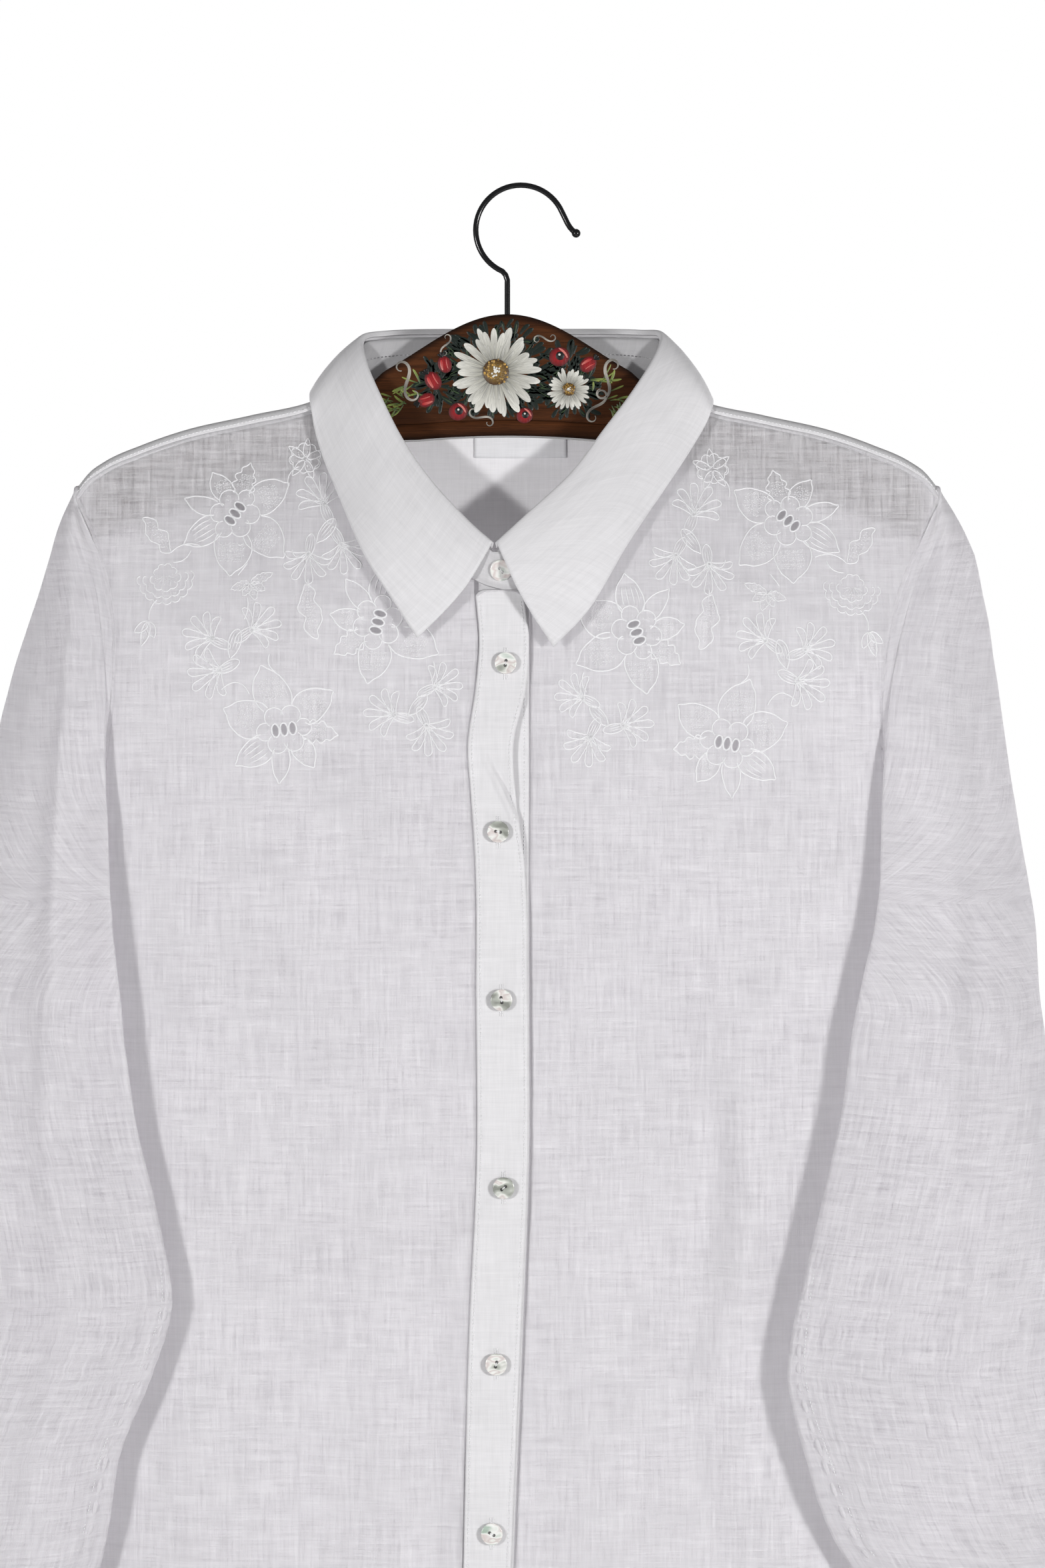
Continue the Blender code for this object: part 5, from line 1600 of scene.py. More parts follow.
class Whitework:
    """Draws motifs on one front, mirrored for the left one."""

    def __init__(self, side, batch):
        self.side = side
        self.batch = batch
        self.draw = np.random.default_rng(71 if side == "right" else 72)
        sizes = bpy.context.scene.shirt_sizes
        self.width = sizes.line_width
        self.height = sizes.line_height
        self.lift = sizes.cloth_wall / 2

    def surface(self, x, z, out):
        points = front_surface(x, z, self.side)
        points[..., 1] -= self.lift + out
        return points

    def mirrored(self, line):
        """A flat line of the right front as it lies on this front."""
        if self.side == "right":
            return line
        return np.stack([MIRROR_SHIFT[0] * 0.001 - line[:, 0], line[:, 1] + MIRROR_SHIFT[1] * 0.001], axis=1)

    def placed(self, drawn, motif, spread=0.0):
        """A motif's flat drawing, turned and moved to its place on this front."""
        return self.mirrored(along_heading(drawn, motif.x, motif.z, motif.heading + spread))

    def line(self, line, closed=False, width=1.0, height=1.0, taper=False):
        raised_line(
            self.batch, line, self.surface, self.width * width, self.height * height, closed, taper=taper
        )

    def seeds(self, spots, **settings):
        add_seeds(self.batch, spots, self.surface, **settings)

    def flower(self, flower):
        x, z = flower.x * 1000, flower.z * 1000
        for petal in PETALS:
            heading = flower.turn + flower.way * petal.angle
            bend = petal.bend * flower.way
            ragged = petal.kind == "ragged"
            outline = petal_outline(7.0, petal.length, petal.width, bend, ragged, 0.16)
            self.line(along_heading(outline, x, z, heading))
            if petal.kind == "striped":
                for share in (-0.55, -0.20, 0.20, 0.55):
                    t = np.linspace(0.24, 0.74, 12)
                    half = petal_half(t, petal.width)
                    stripe = np.stack([mixed(7.0, petal.length, t), bend * t**2.2 + half * share], axis=1)
                    self.line(along_heading(stripe, x, z, heading), width=0.8, taper=True)
            elif petal.kind != "plain":
                spots = seed_spots(7.0, petal.length, petal.width, bend, self.draw, 0.34)
                self.seeds(along_heading(spots, x, z, heading))
        eye = flower.heading
        for turn, reach, size in CUPS:
            arc = np.radians(np.linspace(-118, 118, 26))
            cup = np.stack([reach + size * np.cos(arc), size * 1.02 * np.sin(arc)], axis=1)
            self.line(along_heading(cup, x, z, eye + turn), width=0.9)
            spots = self.draw.uniform(-0.45, 0.45, (6, 2)) * size + (reach + 0.5, 0.0)
            self.seeds(along_heading(spots, x, z, eye + turn), size=0.00032)
        around = np.radians(np.linspace(0, 360, 24, endpoint=False))
        heading = math.radians(flower.heading)
        for i in (-1, 0, 1):
            centre_x = x + i * SLOT_PITCH * 1000 * math.cos(heading)
            centre_z = z + i * SLOT_PITCH * 1000 * math.sin(heading)
            rim = np.stack([2.05 * np.cos(around), 3.45 * np.sin(around)], axis=1)
            self.line(along_heading(rim, centre_x, centre_z, flower.heading), True, 1.15, 1.15)

    def fan(self, motif):
        """A blossom from the side: slender petals flare from the end of a ribbed, leaf-shaped cup."""
        size = motif.size * 1.22
        for spread, share, bend in FAN_PETALS:
            outline = finger_outline(-size * 0.08, size * share, size * 0.27, bend)
            self.line(self.placed(outline, motif, spread), width=0.85)
            spots = seed_spots(0.0, size * share, size * 0.16, bend, self.draw, 0.3, 0.7, 0.6, 1.3)
            self.seeds(self.placed(spots, motif, spread), size=0.00030)
        cup = petal_outline(-size * 0.62, size * 0.14, size * 0.30, 0.5)
        self.line(self.placed(cup, motif), width=0.85)
        for shift in (-0.07, 0.0, 0.07):
            rib = np.stack([np.linspace(-0.48, 0.02, 7) * size, np.full(7, shift * size)], axis=1)
            self.line(self.placed(rib, motif), width=0.75, taper=True)

    def pod(self, motif):
        outline = petal_outline(-motif.size / 2, motif.size / 2, motif.size * 0.42, 1.2)
        self.line(self.placed(outline, motif), width=0.9)
        for share in (-0.5, 0.0, 0.5):
            t = np.linspace(0.12, 0.72, 9)
            half = petal_half(t, motif.size * 0.42)
            rib = np.stack([mixed(-0.5, 0.5, t) * motif.size, 1.2 * t**2.2 + half * share], axis=1)
            self.line(self.placed(rib, motif), width=0.75, taper=True)

    def wavy(self, motif):
        t = np.linspace(0.0, 1.0, 40)
        wave = 0.10 * motif.size * np.sin(t * 4.2 * math.pi)
        full = 0.8 + 0.3 * np.abs(np.sin(t * 3.4 * math.pi))
        half = motif.size * 0.17 * np.sin(math.pi * t) ** 0.6 * full
        upper = np.stack([t * motif.size, wave * 0.4 + half], axis=1)
        lower = np.stack([t * motif.size, wave * 0.4 - half], axis=1)
        outline = np.vstack([upper, lower[::-1][1:-1]])
        self.line(self.placed(outline, motif), True)
        spots = seed_spots(0.0, motif.size, motif.size * 0.26, 0.0, self.draw, 0.12, 0.85, 0.8, 1.4)
        self.seeds(self.placed(spots, motif))

    def scallops(self, motif, radius, count, sweep, width=0.8):
        """A row of small arcs round a point, as a rose's outer petals."""
        line = []
        for i in range(count):
            middle = math.radians(-sweep / 2 + sweep * (i + 0.5) / count)
            chord = radius * math.radians(sweep) / count / 2
            centre = np.array([radius * math.cos(middle), radius * math.sin(middle)])
            arc = np.linspace(-math.pi / 2, math.pi / 2, 8)
            local = np.stack([chord * 0.8 * np.cos(arc), chord * np.sin(arc)], axis=1)
            line.append(centre + along_heading(local, 0, 0, math.degrees(middle)) * 1000)
        self.line(self.placed(np.vstack(line), motif), width=width)

    def rose(self, motif):
        """A full rose from the side: rows of scallops under a ribbed crown."""
        for share, count in ((0.55, 5), (0.85, 7), (1.1, 9)):
            self.scallops(motif, motif.size * share, count, 190)
        for spread in np.linspace(-70, 70, 7):
            rib = np.stack([np.linspace(0.10, 0.50, 6) * motif.size, np.zeros(6)], axis=1)
            self.line(self.placed(rib, motif, spread), width=0.8, taper=True)
        self.scallops(motif._replace(heading=motif.heading + 180), motif.size * 0.42, 4, 170)
        spots = self.draw.uniform(-0.5, 0.5, (60, 2)) * motif.size + (motif.size * 0.45, 0.0)
        self.seeds(self.placed(spots, motif), size=0.00036)

    def bud(self, motif):
        for spread, share in ((-38, 0.7), (0, 1.0), (38, 0.7)):
            outline = petal_outline(0.0, motif.size * share, motif.size * 0.36, 0.0)
            self.line(self.placed(outline, motif, spread), True, 0.85)
        spots = seed_spots(0.0, motif.size, motif.size * 0.34, 0.0, self.draw)
        self.seeds(self.placed(spots, motif))

    def sprig(self, motif):
        for spread, share in ((-90, 0.8), (-45, 0.6), (0, 0.75), (45, 0.7), (95, 1.0)):
            outline = petal_outline(0.5, motif.size * share, motif.size * 0.36, 0.6, True)
            self.line(self.placed(outline, motif, spread), True, 0.8)
            spots = seed_spots(0.5, motif.size * share, motif.size * 0.34, 0.6, self.draw)
            self.seeds(self.placed(spots, motif, spread))

    def rosette(self, motif):
        self.scallops(motif, motif.size * 0.55, 6, 250)
        self.scallops(motif._replace(heading=motif.heading + 180), motif.size * 0.5, 5, 200)
        for spread in (-60, 0, 60, 150, 210):
            outline = petal_outline(1.0, motif.size * 0.95, motif.size * 0.32, 0.5)
            self.line(self.placed(outline, motif, spread), True, 0.8)
        spots = self.draw.uniform(-0.38, 0.38, (40, 2)) * motif.size
        self.seeds(self.placed(spots, motif), size=0.00036)

    def stem(self, row):
        t = np.linspace(0.0, 1.0, 14)
        dx, dz = row.x1 - row.x0, row.z1 - row.z0
        length = math.hypot(dx, dz)
        bow = row.bow * 4 * t * (1 - t)
        line = np.stack([row.x0 + dx * t - dz / length * bow, row.z0 + dz * t + dx / length * bow], axis=1)
        self.line(self.mirrored(line * 0.001), width=0.9)


def make_whitework(side):
    batch = Batch()
    work = Whitework(side, batch)
    for flower in FLOWERS:
        if flower.side == side:
            work.flower(flower)
    for motif in MOTIFS:
        getattr(work, motif.kind)(motif)
    for row in STEMS:
        work.stem(row)
    obj = batch.build(f"whitework_{side}", finish("Embroidery thread"))
    finish_piece(obj, "linen")


def surface_row(surface, x, z, out):
    """Points on a surface and its facing there, for a row of stitches."""
    points = surface(x, z, out)
    slope_x = (surface(x + 0.001, z, out)[..., 1] - surface(x - 0.001, z, out)[..., 1]) / 0.002
    slope_z = (surface(x, z + 0.001, out)[..., 1] - surface(x, z - 0.001, out)[..., 1]) / 0.002
    normals = np.stack([slope_x, -np.ones_like(slope_x), slope_z], axis=-1)
    return points, normals


def seam_ridge(batch, line, normals, width, height):
    """A narrow rounded ridge of turned cloth along a seam."""
    line = np.asarray(line, float)
    normals = normals / np.linalg.norm(normals, axis=1, keepdims=True)
    sideways = np.cross(normals, directions(line))
    shares = np.array([-0.5, -0.3, 0.0, 0.3, 0.5])
    heights = np.array([-0.5, 0.6, 1.0, 0.6, -0.5]) * height
    points = line[:, None, :] + sideways[:, None, :] * (shares[None, :, None] * width)
    points = points + normals[:, None, :] * heights[None, :, None]
    run = np.concatenate([[0.0], np.cumsum(np.linalg.norm(np.diff(line, axis=0), axis=1))])
    uv = np.stack(np.broadcast_arrays(shares[None, :] * width, run[:, None]), axis=-1)
    batch.add(points, grid_faces(len(line), len(shares))[:, ::-1], uv)


def make_sewing():
    """Stitch rows, buttonholes and seam ridges."""
    sizes = bpy.context.scene.shirt_sizes
    pitch = sizes.stitch_pitch
    stitches = Batch()
    ridges = Batch()
    band_out = sizes.band_wall / 2
    cloth_out = sizes.cloth_wall / 2

    over = partial(band_surface, "over")
    under = partial(band_surface, "under")

    z = np.linspace(BAND_TOP_Z - 0.0035, HEM_STITCH_Z, 420)
    low, high = band_edges("over", z)
    for x in (low + 0.0020, high - 0.0020):
        stitch_row(stitches, *surface_row(over, x, z, band_out), pitch)
    top_x = np.linspace(low[0] + 0.0012, high[0] - 0.0012, 24)
    from_middle = 2.0 * (top_x - top_x[0]) / (top_x[-1] - top_x[0]) - 1.0
    top_line = BAND_TOP_Z + BAND_RISE - 0.0006 - 0.0026 * from_middle**4
    seam_ridge(ridges, *surface_row(over, top_x, top_line, band_out), 0.0012, 0.0004)
    under_low, under_high = band_edges("under", z)
    stitch_row(stitches, *surface_row(under, under_high - 0.0024, z, cloth_out), pitch)

    for row in BUTTONS[1:]:
        for dx in (-0.00062, 0.00062):
            z_run = np.linspace(row.z - BUTTONHOLE_HALF, row.z + BUTTONHOLE_HALF, 30)
            points, normals = surface_row(over, np.full_like(z_run, row.x + dx), z_run, band_out)
            stitch_row(stitches, points, normals, 0.0006, width=0.0011, gap=0.12, height=0.00012)

    for side, sign in SIDES.items():
        def front(x, z, out, side=side):
            return front_surface(x, z, side, out)

        x = sign * np.linspace(NECK_X - 0.002, SHOULDER_X, 120)
        z_line = across(SHOULDER, "ridge", x) - RIDGE_DROP
        y_line = np.full_like(x, -RIDGE_HALF - 0.0003)
        line = np.stack([x, y_line, z_line], axis=-1)
        normals = np.broadcast_to((0.0, -1.0, 0.25), line.shape)
        seam_ridge(ridges, line, normals, 0.0026, 0.0007)
        above = shoulder_roll(x, 0.72) + (0.0, -0.0004, 0.0002)
        stitch_row(stitches, above, np.broadcast_to((0.0, -1.0, 0.7), above.shape), pitch, height=0.0002)

        z_line = np.linspace(-0.330, -0.1635, 120)
        x = sign * (level(ARMHOLE, side, z_line) + 0.0014 * eased(z_line, -0.200, -0.165))
        points, normals = surface_row(front, x, z_line, 0.0)
        turns = np.linspace(0.94, -0.94, 15)
        over_x = np.full_like(turns, sign * (SHOULDER_X - 0.0004))
        over_ridge = shoulder_roll(over_x, turns)
        angle = turns * math.pi / 2
        over_normals = np.stack([0.0 * angle, -np.sin(angle), np.cos(angle)], axis=-1)
        back_line = np.stack([x, back_y(x, z_line) + 0.0002, z_line], axis=-1)[::-1]
        back_normals = np.broadcast_to((sign * 0.3, 1.0, 0.0), back_line.shape)
        line = np.concatenate([points, over_ridge, back_line])
        normals = np.concatenate([normals, over_normals, back_normals])
        seam_ridge(ridges, line, normals, 0.0042, 0.0006)

        levels = np.linspace(SEAM_SHOWS_Z - 0.004, CUFF_TOP_Z, 110)
        seam_ridge(ridges, *sleeve_row(side, underarm_station(levels), levels, cloth_out), 0.0022, 0.0006)
        stitch_row(stitches, *sleeve_row(side, underarm_station(levels) + 0.09, levels, cloth_out), pitch)

        z_line = np.linspace(UNDERARM_Z - 0.002, HEM_Z, 160)
        x = sign * level(BODY, "side", z_line)
        line = np.stack([x, np.zeros_like(x), z_line], axis=-1)
        seam_ridge(ridges, line, np.broadcast_to((sign, 0.0, 0.0), line.shape), 0.0030, 0.0006)

        hem_x = np.linspace(0.03, 0.24, 90) * sign
        hem_z = np.full_like(hem_x, HEM_STITCH_Z)
        stitch_row(stitches, *surface_row(front, hem_x, hem_z, cloth_out), pitch)

        stations = np.linspace(0.4, 8.6, 150)
        for z_cuff in (CUFF_TOP_Z - 0.003, CUFF_BOTTOM_Z + 0.003):
            ring = sleeve_section(side, z_cuff, stations)
            along = directions(ring)
            out = np.stack([along[:, 1], -along[:, 0], np.zeros(len(along))], axis=-1) * sign
            stitch_row(stitches, ring + out * band_out, out, pitch)
        ring = sleeve_section(side, CUFF_TOP_Z, stations)
        seam_ridge(ridges, ring, out, 0.0022, 0.0009)

    hem_x = np.linspace(-0.235, 0.235, 180)
    hem_z = np.full_like(hem_x, HEM_STITCH_Z)
    back_line = np.stack([hem_x, back_y(hem_x, hem_z) + back_folds(hem_x, hem_z) + cloth_out, hem_z], axis=-1)
    stitch_row(stitches, back_line, np.broadcast_to((0.0, 1.0, 0.0), back_line.shape), pitch)

    for side, turns in collar_line(60):
        lower, upper = stand_lines(side, turns)
        inward = -outward(side, turns)
        line = mixed(lower, upper, 0.60) + inward * band_out
        stitch_row(stitches, line, inward, pitch)

    finish_piece(stitches.build("sewing_stitches", finish("Thread")), "linen_band")
    finish_piece(ridges.build("sewing_seams", finish("Linen")), "linen")


def board_top(x):
    """Upper line of the hanger: a domed middle, then the arms just under the cloth."""
    turn = math.pi * np.minimum(np.abs(x) / DOME_HALF, 1.0)
    dome = DOME_TOP_Z - DOME_RISE * (1.0 - np.cos(turn)) / 2
    arm = across(SHOULDER, "ridge", x) - CLOTH_HALF - BOARD_CLEAR
    return mixed(dome, arm, eased(np.abs(x), 0.063, 0.079))


def board_bottom(x):
    middle = -0.1295 - 0.0025 * (x / 0.05) ** 2
    arm = board_top(x) - BOARD_ARM_HEIGHT
    return mixed(middle, arm, eased(np.abs(x), 0.045, 0.085))


def make_board():
    """The hanger's board: a flat blank cut to its outline, rounded, with a bead along its foot."""
    columns = 180
    heights = (0.0, 0.0040, 0.0072, BEAD_Z, 0.0092, 0.0125)
    rows = len(heights) + 8
    deselect()
    bpy.ops.mesh.primitive_grid_add(
        x_subdivisions=columns, y_subdivisions=rows - 1, size=1.0, rotation=(math.pi / 2, 0, 0)
    )
    board = bpy.context.object
    board.name = "hanger_board"
    bpy.ops.object.transform_apply(location=True, rotation=True, scale=True)
    for vertex in board.data.vertices:
        row = int(round((vertex.co.z + 0.5) * (rows - 1)))
        x = vertex.co.x * 2.0 * BOARD_END_X
        end = max(abs(x) - (BOARD_END_X - BOARD_END_RADIUS), 0.0) / BOARD_END_RADIUS
        low = float(board_bottom(x))
        high = float(board_top(x))
        tuck = BOARD_END_RADIUS * (1.0 - math.sqrt(max(1.0 - end**2, 0.0)))
        low, high = low + tuck, high - tuck
        if row < len(heights):
            z = low + heights[row]
        else:
            z = mixed(low + heights[-1], high, (row - len(heights) + 1) / 8)
        vertex.co = Vector((x, -BOARD_THICKNESS / 2, z))
    bpy.ops.object.mode_set(mode="EDIT")
    bpy.ops.mesh.select_all(action="SELECT")
    bpy.ops.mesh.extrude_region_move(TRANSFORM_OT_translate={"value": (0.0, BOARD_THICKNESS, 0.0)})
    bpy.ops.mesh.select_all(action="SELECT")
    bpy.ops.mesh.normals_make_consistent(inside=False)
    bpy.ops.mesh.select_all(action="DESELECT")
    bm = bmesh.from_edit_mesh(board.data)
    half = BOARD_THICKNESS / 2
    for edge in bm.edges:
        flat = all(abs(abs(v.co.y) - half) < 1e-6 for v in edge.verts)
        same = edge.verts[0].co.y * edge.verts[1].co.y > 0
        corner = len(edge.link_faces) == 2 and edge.calc_face_angle(0.0) > 1.0
        edge.select_set(flat and same and corner)
    bmesh.update_edit_mesh(board.data)
    bpy.ops.mesh.bevel(offset=BOARD_EDGE_RADIUS, segments=4, affect="EDGES")
    bpy.ops.object.mode_set(mode="OBJECT")
    coords = np.empty(len(board.data.vertices) * 3)
    board.data.vertices.foreach_get("co", coords)
    coords = coords.reshape(-1, 3)
    x, z = coords[:, 0], coords[:, 2]
    foot = z - board_bottom(x)
    face = np.abs(np.abs(coords[:, 1]) - half) < 1e-5
    groove = 0.0008 * np.exp(-(((foot - BEAD_Z) / 0.0007) ** 2)) * (np.abs(x) < BOARD_END_X - 0.012)
    coords[:, 1] -= np.sign(coords[:, 1]) * groove * face
    # Painted shade: this distance, kept in the UV, darkens the wood near its top and foot, on its rounded
    # rims and in the bead's groove
    edge_shade_distance = np.minimum(np.abs(foot), np.abs(board_top(x) - z))
    edge_shade_distance = np.minimum(edge_shade_distance, np.where(face, 1.0, 0.0008))
    edge_shade_distance = np.where(np.abs(foot - BEAD_Z) < 0.0004, 0.0014, edge_shade_distance)
    corners = np.empty(len(board.data.loops), np.int32)
    board.data.loops.foreach_get("vertex_index", corners)
    layer = board.data.uv_layers.active
    layer.data.foreach_set("uv", np.stack([x, edge_shade_distance], axis=1)[corners].ravel())
    coords[:, 0] += STEM_X
    board.data.vertices.foreach_set("co", coords.ravel())
    board.data.update()
    make_active(board)
    bpy.ops.object.shade_smooth_by_angle(angle=math.radians(40))
    board.data.materials.append(finish("Wood"))
    finish_piece(board, "wood", "hanger_wood")


def hook_line():
    """The wire's middle line: up from the wood, round the crook and out to the tip."""
    middle_x = 0.0070
    middle_z = -0.0220
    radius = WIRE_RADIUS - middle_z
    line = [(0.0, float(board_top(0.0)) - 0.002), (0.0, -0.0560), (0.0, -0.0500), (0.0, -0.0480)]
    line.append((-0.0009, -0.0453))
    for degrees in range(246, 20, -6):
        angle = math.radians(degrees)
        line.append((middle_x + radius * math.cos(angle), middle_z + radius * math.sin(angle)))
    line += [(0.0303, -0.0163), (0.0313, -0.0184), (0.0326, -0.0205), (0.0341, -0.0222), (0.0358, -0.0236)]
    return line


def make_hook():
    """The lacquered wire: a ring extruded section by section along the crook, and a ball end."""
    line = [Vector((x + STEM_X, 0.0, z)) for x, z in hook_line()]
    deselect()
    bpy.ops.mesh.primitive_circle_add(vertices=16, radius=WIRE_RADIUS, location=line[0], fill_type="NGON")
    hook = bpy.context.object
    hook.name = "hanger_hook_wire"
    bpy.ops.object.transform_apply(location=True, rotation=True, scale=True)
    bpy.ops.object.mode_set(mode="EDIT")
    bpy.ops.mesh.select_all(action="SELECT")
    heading = Vector((0.0, 0.0, 1.0))
    for i, (spot, ahead) in enumerate(zip(line[:-1], line[1:]), 1):
        after = line[i + 1] if i + 1 < len(line) else ahead + (ahead - spot)
        bpy.ops.mesh.extrude_region_move(TRANSFORM_OT_translate={"value": ahead - spot})
        turned = (after - spot).normalized()
        angle = math.atan2(turned.x, turned.z) - math.atan2(heading.x, heading.z)
        angle = (angle + math.pi) % (2 * math.pi) - math.pi
        bm = bmesh.from_edit_mesh(hook.data)
        chosen = [v for v in bm.verts if v.select]
        bmesh.ops.rotate(bm, verts=chosen, cent=ahead, matrix=Matrix.Rotation(angle, 3, "Y"))
        bmesh.update_edit_mesh(hook.data)
        heading = turned
    bpy.ops.mesh.select_all(action="SELECT")
    bpy.ops.mesh.normals_make_consistent(inside=False)
    bpy.ops.object.mode_set(mode="OBJECT")
    deselect()
    bpy.ops.mesh.primitive_uv_sphere_add(segments=28, ring_count=18, radius=BALL_RADIUS, location=line[-1])
    ball = bpy.context.object
    apply_modifier(hook, "BOOLEAN", operation="UNION", solver="EXACT", object=ball)
    bpy.data.objects.remove(ball)
    make_active(hook)
    bpy.ops.object.shade_smooth_by_angle(angle=math.radians(50))
    hook.data.materials.append(finish("Black lacquer"))
    finish_piece(hook, "black_wire", "hanger_hook")


Stroke = namedtuple("Stroke", "x z heading length width bend base tip layer")


def paint_depth(layer, rise):
    """Depth of a layer of paint on the board's face; layers and rises count in millimetres."""
    return -BOARD_THICKNESS / 2 - 0.001 * (0.02 + 0.045 * layer + rise)


def polar(x, z, reach, angle):
    """The spot at a distance from x, z, at an angle in radians."""
    return x + reach * math.cos(angle), z + reach * math.sin(angle)


def brush_stroke(batch, stroke):
    """One stroke of thick paint on the board's face, in millimetres."""
    t = np.sin(np.linspace(0.0, math.pi / 2, 8))
    half = stroke.width / 2 * (0.35 + 0.65 * np.sin(math.pi * np.minimum(t * 0.62 + 0.06, 0.5))) * np.sqrt(
        np.clip(1.0 - (np.maximum(t - 0.72, 0.0) / 0.28) ** 2, 0.02, 1.0)
    )
    middle = stroke.bend * t**2
    across_shares = np.array([-1.0, -0.45, 0.45, 1.0])
    heights = np.array([0.0, 0.10, 0.10, 0.0])
    flat = np.stack(
        [
            np.broadcast_to((t * stroke.length)[:, None], (8, 4)),
            middle[:, None] + half[:, None] * across_shares[None, :],
        ],
        axis=-1,
    )
    placed = along_heading(flat.reshape(-1, 2), stroke.x, stroke.z, stroke.heading).reshape(8, 4, 2)
    depth = paint_depth(stroke.layer, heights[None, :])
    points = np.stack([placed[..., 0], np.broadcast_to(depth, (8, 4)), placed[..., 1]], axis=-1)
    colours = mixed(np.array(stroke.base), np.array(stroke.tip), t[:, None, None] * np.ones((8, 4, 1)))
    run = t[:, None] * stroke.length * 0.001 + stroke.heading
    uv = np.stack(np.broadcast_arrays(across_shares[None, :] * stroke.width * 0.0005, run), axis=-1)
    batch.add(points, grid_faces(8, 4), uv, colours.reshape(-1, 3))


def painted_disc(batch, x, z, radius, colour, rim, layer, squash=1.0, heading=0.0, rise=0.35):
    """A rounded dab of paint, shaded towards its rim."""
    shares = (0.0, 0.45, 0.75, 1.0)
    count = 18
    around = np.linspace(0.0, 2 * math.pi, count + 1)
    rows = []
    shades = []
    for share in shares:
        flat = np.stack([radius * share * np.cos(around), radius * share * squash * np.sin(around)], axis=1)
        placed = along_heading(flat, x, z, heading)
        depth = paint_depth(layer, rise * (1 - share**2))
        rows.append(np.stack([placed[:, 0], np.full(count + 1, depth), placed[:, 1]], axis=1))
        shades.append(np.broadcast_to(mixed(np.array(colour), np.array(rim), share**2), (count + 1, 3)))
    points = np.stack(rows)
    uv = points[..., (0, 2)]
    batch.add(points, grid_faces(len(shares), count + 1), uv, np.stack(shades).reshape(-1, 3))


def painted_scroll(batch, scroll, layer):
    """An S-shaped scroll with a spiral at each end: its curve tightens evenly from the middle."""
    t = np.linspace(-1.0, 1.0, 64)
    angle = scroll.way * 5.2 * t**2
    step = np.stack([np.cos(angle), np.sin(angle)], axis=1) * scroll.size * 2.4 / len(t)
    centre = np.cumsum(step, axis=0)
    centre = along_heading(centre - centre.mean(axis=0), scroll.x, scroll.z, scroll.heading)
    along = directions(centre)
    side = np.stack([-along[:, 1], along[:, 0]], axis=1)
    width = 0.001 * scroll.size * 0.050 * np.clip(np.cos(t * 1.35), 0.30, 1.0)
    shares = np.array([-1.0, -0.4, 0.4, 1.0])
    spots = centre[:, None, :] + side[:, None, :] * (shares[None, :, None] * width[:, None, None])
    heights = np.array([0.0, 0.09, 0.09, 0.0])
    depth = paint_depth(layer, heights)
    points = np.stack([spots[..., 0], np.broadcast_to(depth, spots.shape[:2]), spots[..., 1]], axis=-1)
    shade = np.array(SCROLL) * (0.70 + 0.30 * np.sin(7 * t))[:, None, None] * np.ones((1, 4, 1))
    uv = np.stack(np.broadcast_arrays(shares[None, :] * 0.0005, t[:, None] * 0.03), axis=-1)
    batch.add(points, grid_faces(len(t), 4), uv, shade.reshape(-1, 3))


WHITE = (0.80, 0.79, 0.73)
CREAM = (0.40, 0.39, 0.33)
LEAF = (0.006, 0.013, 0.009)
LEAF_LIGHT = (0.050, 0.090, 0.035)
BLADE = (0.30, 0.36, 0.08)
RED = (0.34, 0.008, 0.012)
MAROON = (0.085, 0.004, 0.006)
PINK = (0.66, 0.20, 0.17)
BLACK = (0.005, 0.005, 0.005)
GOLD = (0.26, 0.15, 0.03)
UMBER = (0.06, 0.026, 0.010)
SCROLL = (0.46, 0.43, 0.38)

# The posy's parts in millimetres: places, headings in degrees and sizes
Bloom = namedtuple("Bloom", "x z radius petals")
BIG_DAISY = Bloom(-6.0, -96.5, 23.5, 19)
SMALL_DAISY = Bloom(32.0, -105.5, 11.5, 17)
Bud = namedtuple("Bud", "x z heading size")
BUDS = (
    Bud(-38.5, -101.0, 128, 5.2),
    Bud(-32.5, -92.5, 110, 4.6),
    Bud(-42.0, -111.0, 205, 4.6),
    Bud(42.0, -92.5, 40, 4.8),
)
Poppy = namedtuple("Poppy", "x z size")
POPPIES = (Poppy(27.0, -88.5, 5.4), Poppy(9.0, -119.0, 4.4), Poppy(-25.5, -117.0, 5.0))
Leaves = namedtuple("Leaves", "x z inner outer count")
LEAVES = (
    Leaves(-6.0, -96.5, 15.0, 26.0, 190),
    Leaves(32.0, -105.5, 7.0, 13.5, 80),
    Leaves(-37.0, -103.0, 2.0, 9.0, 50),
    Leaves(31.0, -91.0, 2.0, 8.0, 34),
)
Blades = namedtuple("Blades", "x z heading count")
BLADES = (
    Blades(-57, -114, 205, 18),
    Blades(56, -115, -28, 18),
    Blades(-49, -106, 165, 9),
    Blades(48, -104, 18, 9),
)
Scroll = namedtuple("Scroll", "x z heading size way")
SCROLLS = (
    Scroll(-52.0, -101.0, 70, 17.0, 1),
    Scroll(52.0, -100.0, 110, 17.0, -1),
    Scroll(46.5, -114.0, 25, 14.0, 1),
    Scroll(-13.5, -120.0, 10, 11.0, -1),
    Scroll(19.5, -79.0, -35, 9.0, 1),
    Scroll(-32.0, -82.5, 215, 9.0, 1),
)


def on_board(x, z, margin=1.6):
    """Whether a spot in millimetres lies on the board's painted face, above its bead."""
    top = float(board_top(x * 0.001)) * 1000 - margin
    foot = float(board_bottom(x * 0.001)) * 1000 + 8.8
    return foot < z < top


def toned(colour, tone):
    return tuple(np.array(colour) * tone)


